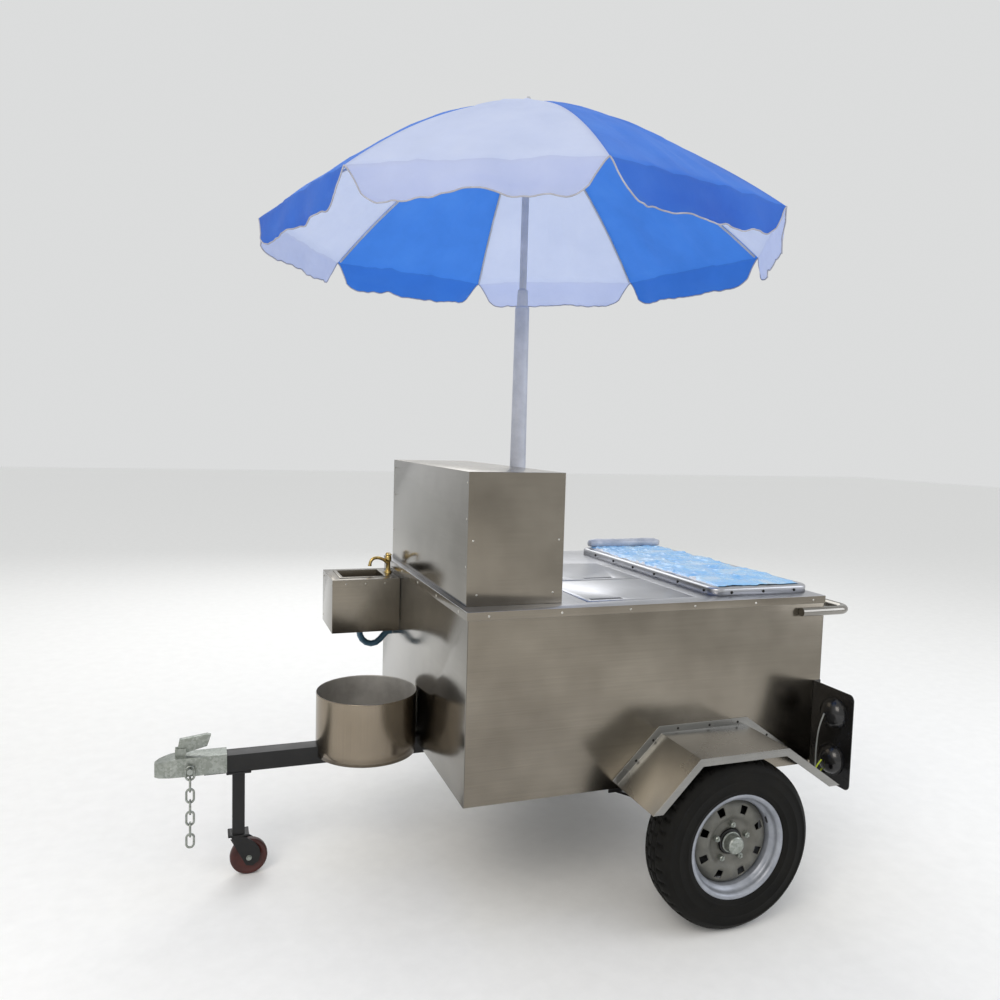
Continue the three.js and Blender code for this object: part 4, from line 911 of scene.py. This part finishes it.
def coupler():
    """The pressed coupler housing, its nose drawn down over the ball."""
    bm = bmesh.new()
    bm.from_mesh(NODES["coupler_housing"].data)
    bmesh.ops.remove_doubles(bm, verts=bm.verts, dist=MERGE)
    nose, slope, drop = FRONT_X - 0.875, 0.085, 0.017
    for step in (0.095, 0.07, 0.03):
        everything = bm.verts[:] + bm.edges[:] + bm.faces[:]
        bmesh.ops.bisect_plane(bm, geom=everything, plane_co=(nose + step, 0, 0), plane_no=(1, 0, 0))
    for v in bm.verts:
        if v.co.z > 0.43:
            v.co.z -= drop * (max(0.0, nose + slope - v.co.x) / slope) ** 2
    merge_flats(bm)
    return bm


put("coupler_housing_finished", coupler(), ZINC, "cart", ["coupler_housing"], 0.0035, 4)
softened("coupler_latch", ZINC, 0.0012, 3)


CHAIN_WIRE = 0.0036
CASTER_R = 0.062


def chain_routes():
    """Seven welded links hanging in turn at right angles."""
    pitch, inside, chain_y = 0.0379, 0.037, -0.053
    routes = []
    for i in range(7):
        # the first link is wider, to go round the bolt
        half = (0.0095 if i == 0 else 0.008) + CHAIN_WIRE
        straight = inside + 2 * CHAIN_WIRE - 2 * half + 0.0009
        centre = BOLT_Z + 0.0064 + CHAIN_WIRE - i * pitch - half
        bends = [(math.pi * k / 12, 0) for k in range(13)] + [(math.pi + math.pi * k / 12, straight) for k in range(13)]
        loop = [(half * math.cos(a), centre + half * math.sin(a) - down) for a, down in bends]
        across = i % 2
        routes.append([(BOLT_X + u * (1 - across), chain_y + u * across, z) for u, z in loop])
    return routes


line_piece("safety_chain_links", chain_routes(), CHAIN_WIRE, ZINC, "chain", ["safety_chain"], cyclic=True)


def caster_wheel():
    """A cast wheel with a thin web, a thick tread and a hub on both sides."""
    near = [
        (0.0046, -0.017), (0.013, -0.017), (0.014, -0.016), (0.0145, -0.0125), (0.030, -0.0105), (0.043, -0.0112),
        (0.047, -0.0140), (0.053, -0.0152), (0.058, -0.0145), (0.0608, -0.0110), (0.0620, -0.0050),
    ]
    return spun(near + [(r, -y) for r, y in reversed(near)], (CASTER_X, 0, CASTER_R), "Y", 64, closed=True)


put("caster_wheel_finished", caster_wheel(), OXBLOOD, "caster_roller", ["caster_wheel"])
bm = bmesh.new()
for side in (-1, 1):
    hexagon(bm, (CASTER_X, side * 0.021, CASTER_R), (0, side, 0), 0.0075, 0.006)
put("caster_axle_nuts", bm, ZINC, "caster_swivel", edge=0.0005, slot="galvanised_steel")


# ---------------------------------------------------------------- gas bottle holder

def holder():
    """A rolled ring with a hemmed rim, its floor plate and the slot over the drawbar."""
    r, wall, low, top = 0.175, 0.002, 0.395, 0.610
    slot_top, slot_half = 0.4322, 0.031
    heights = (low, low + 0.03, slot_top, slot_top + 0.009, top - 0.05)
    hem = [
        (r, top - 0.006), (r + 0.0002, top - 0.002), (r - 0.0008, top), (r - 0.0020, top - 0.0006),
        (r - 0.0024, top - 0.004),
    ]
    profile = [(r, z) for z in heights] + hem + [(r - wall, z) for z in reversed(heights)]
    bm = spun(profile, (HOLDER_X, 0, 0), "Z", 180, closed=True)
    gone = []
    for f in bm.faces:
        c = f.calc_center_median()
        if abs(c.y) < slot_half and c.z < slot_top:
            gone.append(f)
    bmesh.ops.delete(bm, geom=gone, context="FACES")
    rims = [e for e in bm.edges if e.is_boundary]
    bmesh.ops.bridge_loops(bm, edges=[e for e in rims if e.verts[0].co.x < HOLDER_X])
    bmesh.ops.bridge_loops(bm, edges=[e for e in rims if e.verts[0].co.x > HOLDER_X])
    bmesh.ops.recalc_face_normals(bm, faces=bm.faces)
    floor_plate = [(0.0, 0.4304), (0.1729, 0.4304), (0.1729, 0.4334), (0.0, 0.4334)]
    spun(floor_plate, (HOLDER_X, 0, 0), "Z", 96, bm)
    # the inside is matt
    for f in bm.faces:
        c = f.calc_center_median()
        f.material_index = 1 if math.hypot(c.x - HOLDER_X, c.y) < r - 0.6 * wall else 0
    return bm


put("gas_bottle_holder_finished", holder(), STAINLESS_UP, "cart", ["gas_bottle_holder"], more=[STAINLESS_MATT])


# ---------------------------------------------------------------- tap and drain

SINK_Y = 0.423
TAP = Vector((FRONT_X - 0.019, SINK_Y, 0.9523))
pillar = [
    (0.0, 0.0), (0.0150, 0.0), (0.0152, 0.003), (0.0135, 0.0065), (0.0105, 0.009), (0.0090, 0.014),
    (0.0088, 0.044), (0.0110, 0.048), (0.0130, 0.051), (0.0130, 0.062), (0.0120, 0.0675), (0.0105, 0.0698),
    (0.0, 0.0698),
]
put("tap_pillar", spun(pillar, TAP, "Z", 40), BRASS, "cart", ["tap_body"], 0.0005)

swan_neck = (
    (-0.002, 0.040), (-0.014, 0.050), (-0.030, 0.0585), (-0.048, 0.0615), (-0.062, 0.0575), (-0.071, 0.047),
    (-0.0745, 0.031),
)
spout = [TAP + Vector((x, 0, z)) for x, z in swan_neck]
line_piece("tap_spout", [spout], 0.0065, BRASS, "cart", slot="brass", bezier=True)
bm = bmesh.new()
rod(bm, TAP + Vector((-0.0745, 0, 0.034)), TAP + Vector((-0.0748, 0, 0.0292)), 0.0078, 24)
put("tap_aerator", bm, BRASS, "cart", edge=0.0006, slot="brass")

cap = [(0.0, 0.0704), (0.0118, 0.0704), (0.0118, 0.074), (0.0100, 0.079), (0.0070, 0.0822), (0.0, 0.083)]
bm = spun(cap, TAP, "Z", 40)
block(bm, (0.0095, 0.046, 0.006), TAP + Vector((0, -0.0225, 0.0795)))
put("tap_lever_finished", bm, BRASS, "tap_handle", ["tap_lever"], 0.0018, 4)

# the hose drops from the bowl, sags and goes in through the front panel
HOSE_WIDTH = 0.025
sag = (
    (0, 0.7415), (0, 0.722), (0.003, 0.702), (0.012, 0.684), (0.028, 0.670), (0.048, 0.664),
    (0.068, 0.668), (0.084, 0.680), (0.098, 0.696), (0.110, 0.708), (0.121, 0.712), (0.1316, 0.712),
)
drain = [(FRONT_X - 0.132 + x, SINK_Y, z) for x, z in sag]
hose = line_piece("drain_hose_loop", [drain], HOSE_WIDTH / 2, HOSE, "cart", ["drain_hose"], sides=6)


# ---------------------------------------------------------------- mast

def socket_tube():
    """The tapered tube that stands on the counter, and the collar that clamps the pole."""
    profile = [
        (0.0270, 0.9955), (0.0318, 1.0010), (0.0316, 1.03), (0.0285, 1.50), (0.0255, 1.980), (0.0245, 1.9855),
        (0.0205, 1.9865), (0.0200, 1.990), (0.0190, 2.030), (0.0182, 2.044), (0.0170, 2.047), (0.0137, 2.047),
        (0.0137, 1.500), (0.0200, 1.495), (0.0262, 1.03),
    ]
    return spun(profile, (MAST_X, 0, 0), "Z", 64, closed=True)


def socket_flange():
    """A round foot cut off straight beside the cabinet, with four bolts."""
    bolt_circle, gap, thick = 0.0385, 0.0003, 0.0077
    bm = bmesh.new()
    bmesh.ops.create_circle(bm, cap_ends=True, segments=64, radius=0.045)
    bmesh.ops.translate(bm, vec=(MAST_X, 0, COUNTER_Z + gap), verts=bm.verts)
    everything = bm.verts[:] + bm.edges[:] + bm.faces[:]
    cut = (FRONT_X + 0.3336, 0, 0)
    bmesh.ops.bisect_plane(bm, geom=everything, plane_co=cut, plane_no=(-1, 0, 0), clear_outer=True)
    lifted = bmesh.ops.extrude_face_region(bm, geom=bm.faces[:])["geom"]
    bmesh.ops.translate(bm, vec=(0, 0, thick), verts=[v for v in lifted if isinstance(v, bmesh.types.BMVert)])
    bmesh.ops.recalc_face_normals(bm, faces=bm.faces)
    for a in (0.4, 1.57, -1.57, -0.4):
        place = (MAST_X + bolt_circle * math.cos(a), bolt_circle * math.sin(a), COUNTER_Z + gap + thick - 0.0001)
        hexagon(bm, place, (0, 0, 1), 0.0035, 0.003)
    return bm


def pole():
    """The pole, the dished cap on its crown, and the notched ring that holds the ribs."""
    profile = [
        (0.0, 1.5002), (0.0130, 1.5002), (0.0130, 2.680), (0.0180, 2.681), (0.0180, 2.699), (0.0300, 2.6975),
        (0.0490, 2.6965), (0.0500, 2.6985), (0.0400, 2.7025), (0.0200, 2.7060), (0.0105, 2.7075), (0.0100, 2.712),
        (0.0092, 2.720), (0.0060, 2.7268), (0.0, 2.728),
    ]
    bm = spun(profile, (MAST_X, 0, 0), "Z", 48)
    for i in range(RIB_COUNT):
        turn = Matrix.Rotation(RIB_FIRST + RIB_STEP * (i + 0.5), 3, "Z")
        tooth = block(bm, (0.007, 0.0024, 0.018), (0.0195, 0, CROWN_Z))
        bmesh.ops.rotate(bm, cent=(0, 0, 0), matrix=turn, verts=tooth)
        bmesh.ops.translate(bm, vec=(MAST_X, 0, 0), verts=tooth)
    return bm


put("umbrella_socket_tube", socket_tube(), POLE_POWDER, "cart", ["umbrella_socket"])
put("socket_flange", socket_flange(), POLE_POWDER, "cart", edge=0.0008, slot="pole_paint")
put("umbrella_pole_finished", pole(), POLE_POWDER, "mast", ["umbrella_pole"], 0.0006)
softened("umbrella_runner", BLACK_ABS, 0.0008, 3)
for i in range(1, RIB_COUNT + 1):
    softened("rib_%d" % i, POLE_POWDER, 0.0009)
    softened("stretcher_%d" % i, POLE_POWDER, 0.0008)


# ---------------------------------------------------------------- canopy

# each rib's pivot and tip, how far it bows, and how far above its middle line the cloth lies
PIVOT_R, RIM_R, RIM_Z, RISE = 0.024, 0.922, 2.222, 0.045
CLOTH_LIFT = 0.0068
CHORD = Vector((RIM_R - PIVOT_R, RIM_Z - CROWN_Z))


def rib_line(s, lift):
    """Radius and height at a share s of the way down a rib, lifted off it."""
    rise = 4 * RISE * s * (1 - s) + lift
    out = Vector((-CHORD.y, CHORD.x)).normalized() * rise
    return PIVOT_R + CHORD.x * s + out.x, CROWN_Z + CHORD.y * s + out.y


def around(radius, height, angle):
    """A point at a radius and an angle from the pole."""
    return Vector((MAST_X + radius * math.cos(angle), radius * math.sin(angle), height))


def cloth_point(gore, u, s):
    """A point of the canopy: gore number, share u across it and s from the crown to the rim."""
    a0 = RIB_FIRST + RIB_STEP * gore
    r, z = rib_line(s, CLOTH_LIFT)
    p, q = around(r, z, a0), around(r, z, a0 + RIB_STEP)
    here = p.lerp(q, u)
    arch = 4 * u * (1 - u)
    here.z += arch * (0.020 * s * (1.25 - s) + 0.012 * math.sin(math.pi * min(1.0, s * 1.1)))
    # tension creases run from the rib tips across the lower half of the cloth
    wide = Vector((u * 9 + gore * 7.3, s * 3.2, 1.7 + gore))
    fine = Vector((u * 20 - s * 6 + gore * 3.1, s * 9, 6.1))
    fade = arch * min(1.0, s * 1.6) * min(1.0, abs(u - 0.5) * 8)
    here.z += fade * (0.013 * noise.noise(wide) + 0.007 * noise.noise(fine))
    return here


def flap_point(gore, u, v):
    """A point of the hanging flap: share v from the rim to its wavy lower edge."""
    top = cloth_point(gore, u, 1.0)
    middle = RIB_FIRST + RIB_STEP * (gore + 0.5)
    seed = gore * 5.17
    corner = min(u, 1 - u)
    reach = 0.116 - 0.030 * max(0.0, 1 - corner / 0.13) ** 2
    reach -= 0.020 * (0.5 + 0.5 * noise.noise(Vector((u * 3.4 + seed, 0.3, 4.4))))
    if gore == RIB_COUNT - 1:
        # the front flap is drawn up in its middle
        reach -= 0.036 * math.exp(-(((u - 0.50) / 0.17) ** 2))
    out = Vector((math.cos(middle), math.sin(middle), 0))
    along = Vector((-math.sin(middle), math.cos(middle), 0))
    # the flaps are cut back beside each rib, so the slits open downwards
    cutback = 0.050 * v**0.8 * (1 if u < 0.5 else -1) * max(0.0, 1 - corner / 0.22)
    swing = 0.010 * v + 0.012 * v * noise.noise(Vector((u * 5.0 + seed, v * 1.4, 2.0)))
    swing += 0.006 * v * math.sin(u * 19 + seed) + 0.005 * v * noise.noise(Vector((u * 9 + seed, v * 3, 8.0)))
    here = top + along * cutback + out * swing
    here.z -= reach * v
    return here


def across_gore(side, share):
    """The share across the whole gore of a share across one of its halves, counted from the rib."""
    return share / 2 if side > 0 else 1 - share / 2


def half_gore(gore, side):
    """Half of a gore and of its flap, sewn to one rib: side 1 is the half after it, -1 the half before."""
    wide, down, drop = 14, 26, 9
    crown_gap = 0.016
    bm = bmesh.new()
    bmesh.ops.create_grid(bm, x_segments=wide, y_segments=down + drop, size=0.5)
    for v in bm.verts:
        u = across_gore(side, v.co.x + 0.5)
        row = round((v.co.y + 0.5) * (down + drop))
        if row <= down:
            v.co = cloth_point(gore, u, crown_gap + (1 - crown_gap) * row / down)
        else:
            v.co = flap_point(gore, u, ((row - down) / drop) ** 0.9)
    bm.normal_update()
    if sum(f.normal.z for f in bm.faces) < 0:
        bmesh.ops.reverse_faces(bm, faces=bm.faces)
    for f in bm.faces:
        f.material_index = 1 if abs(f.normal.z) < 0.55 else 0
    return bm


def binding(gore, side):
    """The tape sewn down the flap's slit and along half of its lower edge."""
    slit = [flap_point(gore, across_gore(side, 0.0), k / 8) for k in range(9)]
    hem = [flap_point(gore, across_gore(side, k / 30), 1.0) for k in range(1, 31)]
    return swept(slit + hem, 0.0023, 8)


for rib in range(RIB_COUNT):
    for side, word in ((1, "after"), (-1, "before")):
        gore = rib if side > 0 else (rib - 1) % RIB_COUNT
        ending = "_%d_%s" % (rib + 1, word)
        arm, fold = "rib_arm_%d" % (rib + 1), "rib_fold_%d" % (rib + 1)
        cloth, flap = (BLUE_CLOTH, BLUE_FLAP) if gore % 2 == 0 else (WHITE_CLOTH, WHITE_FLAP)
        bm = half_gore(gore, side)
        area = sum(f.calc_area() for f in bm.faces)
        piece = put("canopy" + ending, bm, cloth, arm, ["canopy"], slot="canopy_cloth", more=[flap])
        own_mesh(piece)
        tape = put("binding" + ending, binding(gore, side), BINDING, arm, slot="canopy_cloth")
        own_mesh(tape)


# ---------------------------------------------------------------- studio

bm = bmesh.new()
bmesh.ops.create_grid(bm, x_segments=1, y_segments=1, size=30)
mesh = bpy.data.meshes.new("studio_floor")
bm.to_mesh(mesh)
bm.free()
mesh.materials.append(painted("matt_floor", "#f5f5f4", "#f9f9f8", 0.8, peel=5.0))
floor = bpy.data.objects.new("studio_floor", mesh)
bpy.context.scene.collection.objects.link(floor)


def area_light(name, place, target, size, power, colour):
    """A soft rectangular lamp turned to a target."""
    data = bpy.data.lights.new(name, "AREA")
    data.shape = "RECTANGLE"
    data.size, data.size_y = size
    data.energy = power
    data.color = tone(colour)[:3]
    lamp = bpy.data.objects.new(name, data)
    lamp.location = place
    lamp.rotation_euler = (Vector(target) - Vector(place)).to_track_quat("-Z", "Y").to_euler()
    bpy.context.scene.collection.objects.link(lamp)


area_light("key", (-3.6, -4.2, 4.8), (0, 0, 1.0), (3.2, 3.2), 150, "#fff8ee")
area_light("fill", (4.6, -3.4, 3.0), (0.2, 0, 1.0), (3.5, 3.0), 70, "#f2f6ff")
area_light("back", (0.5, 5.0, 4.6), (0, 0, 1.4), (5.0, 3.0), 110, "#ffffff")

world = bpy.data.worlds.new("studio")
world.use_nodes = True
bpy.context.scene.world = world
backdrop = world.node_tree.nodes["Background"]
backdrop.inputs["Color"].default_value = tone("#eceded")
backdrop.inputs["Strength"].default_value = 0.85

# the camera stands at chest height off the cart's front corner, turned to the rear and a little down
YAW, PITCH, ROLL = math.radians(19.94), math.radians(4.37), math.radians(1.59)
ahead = Vector((math.sin(YAW) * math.cos(PITCH), math.cos(YAW) * math.cos(PITCH), -math.sin(PITCH)))
level_right = Vector((math.cos(YAW), -math.sin(YAW), 0))
level_up = level_right.cross(ahead)
right = level_right * math.cos(ROLL) + level_up * math.sin(ROLL)
up = level_up * math.cos(ROLL) - level_right * math.sin(ROLL)
optics = bpy.data.cameras.new("view")
optics.sensor_width = 36
optics.lens = 29.69
camera = bpy.data.objects.new("view", optics)
camera.matrix_world = Matrix.Translation((FRONT_X - 0.7291, -2.8429, 1.5132)) @ Matrix(
    (right, up, -ahead)
).transposed().to_4x4()
bpy.context.scene.collection.objects.link(camera)
bpy.context.scene.camera = camera
bpy.context.scene.view_settings.view_transform = "Standard"
